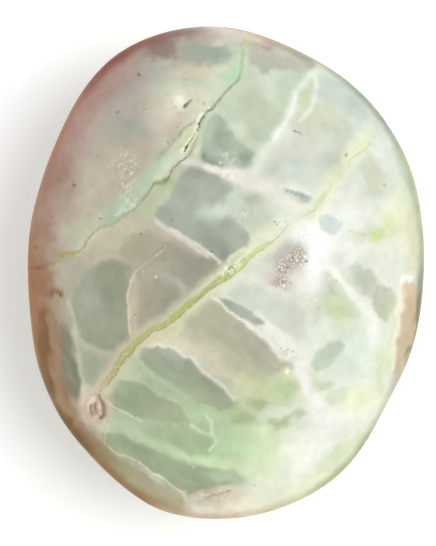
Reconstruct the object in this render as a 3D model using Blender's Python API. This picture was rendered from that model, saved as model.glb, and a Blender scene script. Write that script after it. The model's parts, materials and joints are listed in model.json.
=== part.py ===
"""A tumbled green moonstone that lies on its flattest side, with its broad face up.

The stone is one solid. +Z is up, +Y runs along its length, and the origin is at the middle
of its resting face. A place on the face is given in millimetres from the middle of the
outline, x to the right and y up, as it is seen from straight above.
"""

import math

import bmesh
import bpy
from mathutils import Vector, noise

MM = 0.001

# Outline and heights
HALF_WIDTH = 24.1 * MM
HALF_LENGTH = 29.8 * MM
CROWN_HEIGHT = 14.8 * MM  # from the widest level up to the top of the face
KEEL_DEPTH = 13.6 * MM  # from the widest level down to the underside, before it is worn flat
REST_WORN = 0.55 * MM  # how much of the underside the resting face takes away
SQUARENESS = 0.9  # 1 is an ellipsoid, and less is fuller at the shoulders

# Swells and hollows of the outline: bearing from +X and half spread in degrees, height in mm
RIM_SWELLS = (
    (34, 22, 0.6),
    (72, 17, -1.0),
    (119, 17, 1.15),
    (217, 20, 0.7),
    (252, 13, 0.7),
    (302, 14, 0.3),
    (318, 14, -0.5),
)

# Flats that tumbling wore on the shoulders: bearing and elevation in degrees, depth in mm
WORN_FLATS = (
    (226, 38, 0.9),
    (186, 32, 0.8),
    (352, 36, 0.7),
    (318, 48, 0.8),
    (48, 46, 0.7),
    (128, 52, 0.7),
    (75, 64, 0.4),
    (335, 74, 0.3),
    (35, -40, 0.7),
    (152, -32, 0.7),
    (262, -46, 0.6),
    (328, -38, 0.4),
)
FLAT_SOFTNESS = 1.1 * MM

# Gentle unevenness all over: wave length and height in mm
UNEVENNESS = ((11.0, 0.22), (4.5, 0.06))

# The yellow-green seam across the face, from the crystal pit to the upper right
SEAM = (
    (-15.2, -14.0), (-13.6, -11.6), (-12.2, -9.9), (-10.6, -8.2), (-8.9, -7.0),
    (-7.1, -6.2), (-5.9, -5.0), (-3.1, -2.8), (-0.4, -0.5), (2.4, 1.6),
    (4.4, 3.1), (6.6, 4.8), (7.8, 6.3), (10.2, 7.4), (12.0, 9.6),
    (14.4, 12.6), (15.0, 14.3), (16.9, 15.4), (19.0, 18.2),
)
SEAM_HALF_WIDTH = 0.55 * MM
SEAM_DEPTH = 0.2 * MM

# The healed green fissure, from the left rim up to the top rim
FISSURE = (
    (-23.4, 0.6), (-21.2, 0.9), (-19.4, 2.3), (-17.6, 2.4), (-15.8, 5.2),
    (-13.4, 6.7), (-11.2, 7.4), (-8.9, 9.9), (-7.1, 11.1), (-5.0, 13.5),
    (-3.3, 17.2), (-1.9, 19.6), (1.3, 22.8), (2.0, 26.0), (2.6, 28.6),
)
FISSURE_HALF_WIDTH = 0.5 * MM
FISSURE_DEPTH = 0.22 * MM

# Places where the fissure is still open
GASHES = (
    ((-2.6, 19.0), (-3.2, 17.9), (-3.6, 16.9)),
    ((-4.4, 15.6), (-4.8, 15.0), (-5.2, 14.3)),
)
GASH_HALF_WIDTH = 0.28 * MM
GASH_DEPTH = 0.5 * MM

# The crystal pit at the seam's lower end, with the lump that stands in it
CRYSTAL_PIT = (-15.4, -16.5)
CRYSTAL_PIT_RADIUS = 1.5 * MM
CRYSTAL_PIT_DEPTH = 0.65 * MM
LUMP = (-15.75, -16.4)
LUMP_RADIUS = 0.65 * MM
LUMP_HEIGHT = 0.45 * MM

# The sugary patch right of the middle: a shallow hollow full of small pits
SUGARY_PATCH = (7.4, 0.8)
SUGARY_PATCH_HALF_LENGTH = 3.2 * MM
SUGARY_PATCH_HALF_WIDTH = 1.7 * MM
SUGARY_PATCH_TURN = math.radians(52)
SUGARY_PATCH_DEPTH = 0.14 * MM
SUGAR_PIT_COUNT = 16
SUGAR_PIT_RADIUS = 0.34 * MM
SUGAR_PIT_DEPTH = 0.2 * MM

# Pock marks on the face: place and radius in mm
POCKS = (
    (-10.5, 23.8, 0.42), (-13.0, 19.2, 0.42), (-18.2, 10.5, 0.4), (-4.3, 20.4, 0.42),
    (-4.8, 20.0, 0.36), (-2.5, 20.2, 0.34), (-15.0, 6.5, 0.36), (-10.2, 4.6, 0.36),
    (-6.5, 6.2, 0.34), (-1.7, 2.5, 0.32), (8.3, 16.9, 0.38), (8.9, 16.6, 0.3),
    (14.4, 14.1, 0.42), (5.9, 6.0, 0.4), (-20.2, -2.3, 0.45), (13.2, -0.9, 0.32),
    (7.6, -9.3, 0.4), (8.3, -9.5, 0.34), (19.0, 10.5, 0.42),
)
POCK_DEPTH = 0.9  # as a share of the pock's radius

# Edge lengths that the faces are cut down to
PLAIN_EDGE = 2.3 * MM
SEAM_EDGE = 0.62 * MM
PIT_EDGE = 0.3 * MM
SEAM_REACH = 0.65 * MM
PIT_REACH = 0.1 * MM
REFINING_PASSES = 4

GREEN_GREY = (0.52, 0.56, 0.47, 1.0)
SATIN_ROUGHNESS = 0.3


def direction_to(bearing, elevation):
    """A unit vector from its bearing and elevation in degrees."""
    turn = math.radians(bearing)
    rise = math.radians(elevation)
    flat = math.cos(rise)
    return Vector((flat * math.cos(turn), flat * math.sin(turn), math.sin(rise)))


def rim_radius(bearing):
    """The outline's radius at a bearing in degrees: an ellipse with its swells and hollows."""
    turn = math.radians(bearing)
    radius = HALF_WIDTH * HALF_LENGTH / math.hypot(
        HALF_LENGTH * math.cos(turn), HALF_WIDTH * math.sin(turn)
    )
    for middle, half_spread, height in RIM_SWELLS:
        away = (bearing - middle + 180) % 360 - 180
        radius += height * MM * math.exp(-((away / half_spread) ** 2))
    return radius


def full_form(direction):
    """Where a ray of the unit sphere meets the stone's full form, before wear."""
    across = math.hypot(direction.x, direction.y)
    bearing = math.degrees(math.atan2(direction.y, direction.x))
    reach = rim_radius(bearing) * across**SQUARENESS
    turn = math.radians(bearing)
    height = CROWN_HEIGHT if direction.z > 0 else -KEEL_DEPTH
    return Vector((
        reach * math.cos(turn),
        reach * math.sin(turn),
        height * abs(direction.z) ** SQUARENESS,
    ))


def outward_from(point):
    """The outward direction at a point of the form, that of an ellipsoid of the same size."""
    height = CROWN_HEIGHT if point.z > 0 else KEEL_DEPTH
    return Vector((
        point.x / HALF_WIDTH**2,
        point.y / HALF_LENGTH**2,
        point.z / height**2,
    )).normalized()


def uneven(point):
    """How far the tumbled surface stands above or below its full form."""
    rise = 0.0
    for wave_length, height in UNEVENNESS:
        rise += height * MM * noise.noise(point / (wave_length * MM))
    return rise


def planes_of_wear(points):
    """Each worn flat as its direction and its distance from the middle."""
    planes = []
    for bearing, elevation, depth in WORN_FLATS:
        facing = direction_to(bearing, elevation)
        furthest = max(point.dot(facing) for point in points)
        planes.append((facing, furthest - depth * MM))
    return planes


def worn(point, planes):
    """A point pressed softly back to each worn flat that it stands proud of."""
    for facing, distance in planes:
        proud = (point.dot(facing) - distance) / FLAT_SOFTNESS
        pressed = FLAT_SOFTNESS * math.log1p(math.exp(min(proud, 40.0)))
        point = point - facing * pressed
    return point


def distance_to_route(x, y, route):
    """The distance from a place on the face to the nearest stretch of a route."""
    nearest = math.inf
    for (start_x, start_y), (end_x, end_y) in zip(route, route[1:]):
        run_x, run_y = (end_x - start_x) * MM, (end_y - start_y) * MM
        off_x, off_y = x - start_x * MM, y - start_y * MM
        share = (off_x * run_x + off_y * run_y) / (run_x**2 + run_y**2)
        share = max(0.0, min(1.0, share))
        nearest = min(nearest, math.hypot(off_x - share * run_x, off_y - share * run_y))
    return nearest


def distance_to_place(x, y, place):
    return math.hypot(x - place[0] * MM, y - place[1] * MM)


def dish(distance, radius):
    """A round-bottomed hollow: 1 in its middle, 0 from its rim outwards."""
    share = min(distance / radius, 1.0)
    return (1 - share * share) ** 2


def sugar_pits():
    """The small pits of the sugary patch, spread over its oval in a sunflower's spiral."""
    golden_turn = math.radians(137.508)
    pits = []
    for n in range(SUGAR_PIT_COUNT):
        out = math.sqrt((n + 0.5) / SUGAR_PIT_COUNT)
        along = out * math.cos(n * golden_turn) * SUGARY_PATCH_HALF_LENGTH / MM
        aside = out * math.sin(n * golden_turn) * SUGARY_PATCH_HALF_WIDTH / MM
        cos_turn, sin_turn = math.cos(SUGARY_PATCH_TURN), math.sin(SUGARY_PATCH_TURN)
        pits.append((
            SUGARY_PATCH[0] + along * cos_turn - aside * sin_turn,
            SUGARY_PATCH[1] + along * sin_turn + aside * cos_turn,
        ))
    return pits


def sugary_distance(x, y):
    """The distance from the sugary patch's middle, as a share of its oval."""
    off_x, off_y = x - SUGARY_PATCH[0] * MM, y - SUGARY_PATCH[1] * MM
    cos_turn, sin_turn = math.cos(SUGARY_PATCH_TURN), math.sin(SUGARY_PATCH_TURN)
    along = (off_x * cos_turn + off_y * sin_turn) / SUGARY_PATCH_HALF_LENGTH
    aside = (off_y * cos_turn - off_x * sin_turn) / SUGARY_PATCH_HALF_WIDTH
    return math.hypot(along, aside)


def hollow_at(x, y, pits):
    """How deep the face is cut at a place by its seams, gashes, pits and pocks."""
    depth = SEAM_DEPTH * dish(distance_to_route(x, y, SEAM), SEAM_HALF_WIDTH)
    depth += FISSURE_DEPTH * dish(distance_to_route(x, y, FISSURE), FISSURE_HALF_WIDTH)
    for gash in GASHES:
        depth += GASH_DEPTH * dish(distance_to_route(x, y, gash), GASH_HALF_WIDTH)
    depth += CRYSTAL_PIT_DEPTH * dish(distance_to_place(x, y, CRYSTAL_PIT), CRYSTAL_PIT_RADIUS)
    depth -= LUMP_HEIGHT * dish(distance_to_place(x, y, LUMP), LUMP_RADIUS)
    depth += SUGARY_PATCH_DEPTH * dish(sugary_distance(x, y), 1.0)
    for pit in pits:
        depth += SUGAR_PIT_DEPTH * dish(distance_to_place(x, y, pit), SUGAR_PIT_RADIUS)
    for pock_x, pock_y, radius in POCKS:
        away = distance_to_place(x, y, (pock_x, pock_y))
        depth += POCK_DEPTH * radius * MM * dish(away, radius * MM)
    return depth


def edge_wanted(x, y, pits):
    """How long an edge may be at a place on the face, so that what is cut there keeps its form."""
    if min(distance_to_place(x, y, pit) for pit in pits) < SUGAR_PIT_RADIUS + PIT_REACH:
        return PIT_EDGE
    for pock_x, pock_y, radius in POCKS:
        if distance_to_place(x, y, (pock_x, pock_y)) < radius * MM + PIT_REACH:
            return PIT_EDGE
    if min(distance_to_route(x, y, gash) for gash in GASHES) < GASH_HALF_WIDTH + PIT_REACH:
        return PIT_EDGE
    if distance_to_place(x, y, CRYSTAL_PIT) < CRYSTAL_PIT_RADIUS + PIT_REACH:
        return PIT_EDGE
    if distance_to_route(x, y, SEAM) < SEAM_REACH:
        return SEAM_EDGE
    if distance_to_route(x, y, FISSURE) < SEAM_REACH:
        return SEAM_EDGE
    return PLAIN_EDGE


def refine_face(mesh, pits):
    """Cuts the unit sphere's faces down where the stone has fine form."""
    for _ in range(REFINING_PASSES):
        long_edges = []
        for edge in mesh.edges:
            first = full_form(edge.verts[0].co)
            second = full_form(edge.verts[1].co)
            middle = (first + second) / 2
            if middle.z < 0:
                continue
            wanted = min(edge_wanted(place.x, place.y, pits) for place in (first, middle, second))
            if (first - second).length > 1.3 * wanted:
                long_edges.append(edge)
        if not long_edges:
            break
        bmesh.ops.subdivide_edges(mesh, edges=long_edges, cuts=1)
        bmesh.ops.triangulate(mesh, faces=mesh.faces[:])
        bmesh.ops.beautify_fill(mesh, faces=mesh.faces[:], edges=mesh.edges[:], method="ANGLE")
        bmesh.ops.smooth_vert(
            mesh, verts=mesh.verts[:], factor=0.35, use_axis_x=True, use_axis_y=True, use_axis_z=True
        )
        for vertex in mesh.verts:
            vertex.co.normalize()


def cut_resting_face(mesh):
    """Cuts the underside off flat and closes it, so that the stone lies still."""
    lowest = min(vertex.co.z for vertex in mesh.verts)
    bmesh.ops.bisect_plane(
        mesh,
        geom=mesh.verts[:] + mesh.edges[:] + mesh.faces[:],
        dist=0.01 * MM,
        plane_co=(0, 0, lowest + REST_WORN),
        plane_no=(0, 0, -1),
        clear_outer=True,
    )
    open_edges = [edge for edge in mesh.edges if edge.is_boundary]
    bmesh.ops.contextual_create(mesh, geom=open_edges)


def stand_on_origin(mesh):
    """Moves the stone so that its resting face is at Z 0 and its outline is centred."""
    columns = list(zip(*(vertex.co for vertex in mesh.verts)))
    middle_x = (min(columns[0]) + max(columns[0])) / 2
    middle_y = (min(columns[1]) + max(columns[1])) / 2
    bmesh.ops.translate(mesh, verts=mesh.verts[:], vec=(-middle_x, -middle_y, -min(columns[2])))


def stone_mesh():
    """The whole stone as one closed mesh."""
    mesh = bmesh.new()
    bmesh.ops.create_icosphere(mesh, subdivisions=5, radius=1.0)
    pits = sugar_pits()
    refine_face(mesh, pits)
    for vertex in mesh.verts:
        form = full_form(vertex.co)
        vertex.co = form + outward_from(form) * uneven(form)
    planes = planes_of_wear([vertex.co for vertex in mesh.verts])
    for vertex in mesh.verts:
        point = worn(vertex.co, planes)
        if point.z > 0:
            point -= outward_from(point) * hollow_at(point.x, point.y, pits)
        vertex.co = point
    cut_resting_face(mesh)
    stand_on_origin(mesh)
    bmesh.ops.recalc_face_normals(mesh, faces=mesh.faces[:])
    data = bpy.data.meshes.new("moonstone")
    mesh.to_mesh(data)
    mesh.free()
    return data


def moonstone_material():
    material = bpy.data.materials.new("green moonstone")
    material.use_nodes = True
    shader = material.node_tree.nodes["Principled BSDF"]
    shader.inputs["Base Color"].default_value = GREEN_GREY
    shader.inputs["Roughness"].default_value = SATIN_ROUGHNESS
    shader.inputs["Metallic"].default_value = 0.0
    return material


def main():
    for old in list(bpy.data.objects):
        bpy.data.objects.remove(old)
    collection = bpy.data.collections.new("Moonstone")
    bpy.context.scene.collection.children.link(collection)
    data = stone_mesh()
    data.materials.append(moonstone_material())
    data.shade_smooth()
    data.set_sharp_from_angle(angle=math.radians(50))
    stone = bpy.data.objects.new("moonstone", data)
    collection.objects.link(stone)


main()
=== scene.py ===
# %% [markdown]
# # A tumbled green moonstone
# The stone is one solid pebble that lies on its flattest side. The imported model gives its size
# and form, and this notebook gives it a finer skin and its finish. A place on the broad face is
# written in millimetres from the middle of the stone's outline, x to the right and y up, as it
# is seen from straight above. A colour is written as it is seen on a screen, from 0 to 255.

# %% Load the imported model
import json
import math

import bpy
import numpy as np
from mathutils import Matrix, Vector, noise

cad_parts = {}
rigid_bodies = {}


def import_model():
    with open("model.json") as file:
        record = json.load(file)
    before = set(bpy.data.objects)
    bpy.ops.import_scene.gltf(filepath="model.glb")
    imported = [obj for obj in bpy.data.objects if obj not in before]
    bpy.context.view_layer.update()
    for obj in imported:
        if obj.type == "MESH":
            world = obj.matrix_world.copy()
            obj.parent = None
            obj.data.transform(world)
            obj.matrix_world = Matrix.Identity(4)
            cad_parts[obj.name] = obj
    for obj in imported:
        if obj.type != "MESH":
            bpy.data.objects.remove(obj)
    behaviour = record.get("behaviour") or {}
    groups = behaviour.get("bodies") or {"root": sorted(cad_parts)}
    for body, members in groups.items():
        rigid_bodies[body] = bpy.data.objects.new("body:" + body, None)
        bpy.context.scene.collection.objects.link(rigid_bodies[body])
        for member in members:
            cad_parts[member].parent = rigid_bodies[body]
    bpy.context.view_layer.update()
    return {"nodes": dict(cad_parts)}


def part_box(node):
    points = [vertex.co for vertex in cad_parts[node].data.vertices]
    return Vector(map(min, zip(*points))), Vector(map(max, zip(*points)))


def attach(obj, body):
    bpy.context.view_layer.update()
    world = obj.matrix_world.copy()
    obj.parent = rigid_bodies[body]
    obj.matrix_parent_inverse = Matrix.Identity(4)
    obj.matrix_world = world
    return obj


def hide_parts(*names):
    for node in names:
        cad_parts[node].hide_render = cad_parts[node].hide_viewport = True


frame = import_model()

MM = 0.001
low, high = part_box("moonstone")
half_size = (np.array(high) - np.array(low)) / 2
middle = (np.array(high) + np.array(low)) / 2
print("the stone is", [round(2 * side / MM, 1) for side in half_size], "mm")

# %% [markdown]
# ## The camera
# The stone was looked at from straight above. A long lens from far away shows its outline
# without the swelling that a near camera gives. The lens follows from the width of view that
# is wanted at the height of the outline. The stone lies a little right of the picture's middle.

# %% Camera
CAMERA_HEIGHT = 1500 * MM
VIEW_LENGTH = 65.9 * MM  # what the long side of the picture takes in, at the outline's height
STONE_RIGHT_OF_MIDDLE = 0.97 * MM
STONE_ABOVE_MIDDLE = 0.06 * MM
SENSOR = 36.0

camera_data = bpy.data.cameras.new("camera")
camera_data.sensor_width = SENSOR
camera_data.lens = SENSOR * (CAMERA_HEIGHT - middle[2]) / VIEW_LENGTH
camera = bpy.data.objects.new("camera", camera_data)
camera.location = (-STONE_RIGHT_OF_MIDDLE, -STONE_ABOVE_MIDDLE, CAMERA_HEIGHT)
bpy.context.scene.collection.objects.link(camera)
bpy.context.scene.camera = camera
print("lens", round(camera_data.lens), "mm")

# %% [markdown]
# ## The light
# Soft daylight comes from the right and from above: the right half of the stone is nearly
# white with it, and the left flank is duller. A sun lamp with a wide angle gives the broad,
# soft-edged glare of a window, and it never stands in the way of another view. A pale world
# fills the rest. The standard view transform keeps the pale stone as pale as it is.

# %% Lamp and world
KEY_BEARING = math.radians(8)
KEY_TILT = math.radians(36)  # from straight up, towards the right
KEY_STRENGTH = 1.8
KEY_WIDTH = math.radians(50)
WORLD_STRENGTH = 0.68

to_key = Vector((
    math.sin(KEY_TILT) * math.cos(KEY_BEARING),
    math.sin(KEY_TILT) * math.sin(KEY_BEARING),
    math.cos(KEY_TILT),
))
key_data = bpy.data.lights.new("daylight", "SUN")
key_data.energy = KEY_STRENGTH
key_data.angle = KEY_WIDTH
key = bpy.data.objects.new("daylight", key_data)
key.rotation_euler = to_key.to_track_quat("Z", "Y").to_euler()
key.location = to_key
bpy.context.scene.collection.objects.link(key)

world = bpy.data.worlds.new("pale room")
world.use_nodes = True
world.node_tree.nodes["Background"].inputs["Color"].default_value = (1.0, 1.0, 1.0, 1.0)
world.node_tree.nodes["Background"].inputs["Strength"].default_value = WORLD_STRENGTH
bpy.context.scene.world = world
bpy.context.scene.view_settings.view_transform = "Standard"
print("key light from", [round(part, 2) for part in to_key])

# %% [markdown]
# ## The skin of the stone
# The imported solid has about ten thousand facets, too few for a polished surface. The skin
# starts as an icosphere, because its triangles are all nearly alike, with no poles. It is
# stretched over the stone's box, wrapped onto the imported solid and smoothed, which takes out
# the facets and the small pits. Sculpting by hand would do as well, but wrapping keeps the
# form exactly where the model has it.

# %% Small helpers for working by hand in code
def deselect_all():
    for other in bpy.context.scene.objects:
        other.select_set(False)


def make_active(piece):
    deselect_all()
    piece.select_set(True)
    bpy.context.view_layer.objects.active = piece


def apply_modifier(piece, kind, **settings):
    """Adds a modifier to a piece, sets it up and applies it."""
    make_active(piece)
    modifier = piece.modifiers.new(kind.title(), kind)
    for name, value in settings.items():
        setattr(modifier, name, value)
    bpy.ops.object.modifier_apply(modifier=modifier.name)


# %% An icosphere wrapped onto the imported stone
SKIN_SUBDIVISIONS = 7
LARGER_THAN_THE_STONE = 1.15
SKIN_SMOOTHING = 14

deselect_all()
bpy.ops.mesh.primitive_ico_sphere_add(
    subdivisions=SKIN_SUBDIVISIONS, radius=1.0, location=tuple(middle)
)
stone = bpy.context.active_object
stone.name = "moonstone_skin"
stone.scale = tuple(half_size * LARGER_THAN_THE_STONE)
bpy.ops.object.transform_apply(location=True, rotation=True, scale=True)
apply_modifier(
    stone, "SHRINKWRAP", target=frame["nodes"]["moonstone"], wrap_method="NEAREST_SURFACEPOINT"
)
apply_modifier(stone, "SMOOTH", factor=0.5, iterations=SKIN_SMOOTHING)
print("the skin has", len(stone.data.polygons), "triangles")

# %% [markdown]
# ## Where the marks are
# On the real stone a yellow-green seam crosses the face, a green fissure that has partly
# healed runs up from the left rim, and white veins part clear grey-green windows, which are
# the bodies of the old crystals. Each mark is a route or an outline of a few given points,
# with the colour that it has. A painted picture would be quicker, but these numbers can
# be read and changed, and the pattern is in the stone at any size of render.

# %% The seam and the fissure, as points of a route with its half width in mm there
SEAM = (
    (-15.6, -14.8, 0.26), (-14.4, -13.2, 0.38), (-13.0, -11.2, 0.43), (-12.1, -9.9, 0.44),
    (-11.0, -8.7, 0.42), (-10.0, -7.8, 0.36), (-8.8, -6.9, 0.34), (-7.5, -6.35, 0.33), (-6.5, -5.6, 0.35),
    (-5.0, -4.35, 0.37), (-3.6, -3.2, 0.35), (-2.4, -2.15, 0.34), (-1.2, -1.15, 0.38), (-0.2, -0.5, 0.5),
    (0.9, 0.3, 0.6), (1.7, 0.9, 0.42), (2.6, 1.6, 0.3), (3.7, 2.6, 0.3), (4.6, 3.1, 0.25), (5.4, 3.7, 0.14),
    (6.4, 4.6, 0.1), (7.4, 5.7, 0.11), (8.6, 6.5, 0.1), (9.4, 6.9, 0.13), (10.6, 7.5, 0.2),
    (11.3, 8.4, 0.24), (12.1, 9.7, 0.24), (12.8, 10.9, 0.2), (13.8, 11.9, 0.2), (14.5, 12.7, 0.22),
    (14.8, 13.6, 0.28), (15.5, 14.4, 0.42), (16.7, 15.3, 0.5), (17.4, 16.3, 0.5), (17.8, 17.3, 0.45),
    (19.4, 18.9, 0.3), (24.0, 24.0, 0.2),
)
FISSURE = (
    (-28.0, 0.3, 0.3), (-23.6, 0.5, 0.3), (-22.8, 0.6, 0.28), (-21.2, 0.9, 0.26), (-20.2, 1.6, 0.26),
    (-19.5, 2.2, 0.28), (-18.7, 2.35, 0.26), (-17.7, 2.45, 0.18), (-17.2, 2.8, 0.13), (-16.7, 3.8, 0.13),
    (-15.8, 4.9, 0.13), (-15.1, 5.4, 0.12), (-14.4, 5.6, 0.14), (-13.7, 5.9, 0.14), (-13.0, 6.3, 0.14),
    (-12.3, 6.8, 0.13), (-11.6, 7.15, 0.12), (-10.9, 7.6, 0.12), (-10.4, 8.2, 0.12), (-9.8, 8.9, 0.13),
    (-9.2, 9.8, 0.13), (-8.7, 10.5, 0.18), (-7.9, 10.75, 0.24), (-7.1, 11.1, 0.17), (-6.6, 12.0, 0.1),
    (-6.2, 12.55, 0.09), (-5.8, 12.9, 0.1), (-5.0, 13.5, 0.09), (-4.5, 14.0, 0.1), (-4.1, 14.6, 0.09),
    (-3.7, 15.7, 0.08), (-3.3, 16.9, 0.08), (-2.8, 18.2, 0.08), (-2.4, 19.1, 0.14), (-2.1, 19.4, 0.2),
    (-1.5, 19.9, 0.17), (-1.0, 20.5, 0.14), (-0.5, 21.1, 0.13), (0.1, 21.7, 0.14), (0.8, 22.4, 0.12),
    (1.5, 23.1, 0.14), (1.9, 24.0, 0.2), (1.9, 25.6, 0.2), (2.1, 26.8, 0.25), (2.7, 27.8, 0.3),
    (4.4, 32.0, 0.3),
)

# %% Their colours and how plain they are, by x
SEAM_TINTS = (
    (-16, (196, 176, 148)), (-14.4, (190, 180, 144)), (-13, (182, 180, 124)), (-10, (188, 186, 132)),
    (-6, (186, 191, 120)), (-2, (184, 192, 134)), (0, (192, 200, 138)), (2, (208, 216, 152)),
    (3.7, (219, 226, 166)), (4.8, (218, 222, 180)), (5.8, (208, 205, 166)), (8, (236, 237, 214)),
    (10, (226, 231, 188)), (11, (218, 226, 174)), (12.6, (234, 241, 202)), (14, (236, 241, 200)),
    (16.5, (236, 242, 200)), (20, (234, 242, 208)),
)
SEAM_STRENGTHS = (
    (-15.6, 0.3), (-14.4, 0.75), (-13, 0.95), (5, 0.95), (6.6, 0.7), (8.6, 0.5), (10.4, 0.85), (12, 0.75),
    (15, 0.75), (16.8, 0.6), (18.2, 0.0),
)
FISSURE_TINTS = (
    (-24, (156, 104, 76)), (-22, (162, 122, 88)), (-20.6, (178, 164, 118)), (-18.2, (180, 172, 118)),
    (-17.2, (172, 177, 150)), (-15, (168, 176, 148)), (-13, (176, 192, 158)), (-10, (164, 178, 144)),
    (-7.8, (154, 172, 124)), (-7, (142, 158, 114)), (-6, (150, 160, 132)), (-4.2, (150, 156, 132)),
    (-3, (166, 172, 138)), (-2.2, (156, 162, 143)), (0, (167, 178, 156)), (1.6, (164, 188, 150)),
    (2.2, (204, 212, 170)), (3, (214, 216, 176)),
)
FISSURE_STRENGTHS = (
    (-24, 0.1), (-22, 0.25), (-20.4, 0.6), (-19, 0.8), (-16, 0.65), (-14.6, 0.5), (-11.6, 0.5),
    (-10.8, 0.8), (-8, 0.9), (-4.4, 0.9), (-4.0, 0.4), (-2.7, 0.3), (-2.3, 0.9), (1.4, 0.8), (3, 0.6),
)

# %% The ground: broad areas of the milky stone, each with its softness, strength and outline
MATRIX = (228, 232, 215)
GROUNDS = (
    ((187, 178, 159), 3.0, 0.97, ((-28, 3), (-18, 3), (-13, 7.5), (-8.5, 12), (-5.5, 16), (-3, 20.5),
        (-2, 24), (-2, 33), (-14, 33), (-28, 20))),
    ((178, 170, 158), 3.5, 0.7, ((-28, 8), (-20, 9), (-14.6, 15), (-9, 20), (-7, 24), (-6, 33), (-28, 33))),
    ((178, 176, 156), 2.0, 0.97, ((-28, 3), (-17.4, 2.6), (-12.5, 7), (-7, 11.6), (-4.4, 14), (-0.5, 12),
        (1, 6), (1.4, 2), (-2.6, -2), (-9, -6.6), (-15.5, -14.5), (-19, -19), (-28, -10))),
    ((194, 188, 165), 1.4, 0.9, ((-17, 3.4), (-12, 6.4), (-10, 7.8), (-8.6, 6.4), (-7.2, 4.4), (-10.8, 3),
        (-14.4, 2.8))),
    ((186, 190, 160), 1.0, 0.9, ((-10.4, 8), (-7, 11), (-5, 13.2), (-4.4, 12.2), (-6.4, 9.4), (-8.4, 7.2))),
    ((152, 142, 118), 2.4, 0.95, ((-28, 1), (-20.4, 0), (-18.4, -8), (-17.4, -15), (-15, -19.4),
        (-10.4, -23.4), (-5, -27), (-5, -33), (-28, -28))),
    ((176, 190, 158), 2.0, 0.97, ((-15.4, -15), (-12, -10.2), (-9, -8.4), (-4, -11), (1, -15), (5, -17.6),
        (5, -23), (2, -25.6), (-3, -26.6), (-10, -23), (-14.6, -19.4))),
    ((192, 190, 166), 1.4, 0.9, ((-8, -7), (-1.4, -2.8), (3, -6.4), (8.4, -10.8), (4, -13.4), (0.6, -14.6),
        (-3, -11), (-6, -9))),
    ((204, 212, 190), 2.4, 0.85, ((-1.4, 5.6), (1.6, 2.2), (7, 6.4), (5.6, 9.2), (0.6, 11.4), (-1.4, 9))),
    ((204, 214, 190), 2.4, 0.9, ((-2, 14), (1, 12.6), (4, 14), (7.6, 19), (10.4, 24), (8, 28), (0, 28),
        (-2, 23), (-3, 18))),
    ((216, 222, 205), 2.6, 0.85, ((5, 12), (12, 10), (17, 17), (14, 22), (10.6, 23), (7.6, 18))),
)

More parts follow.
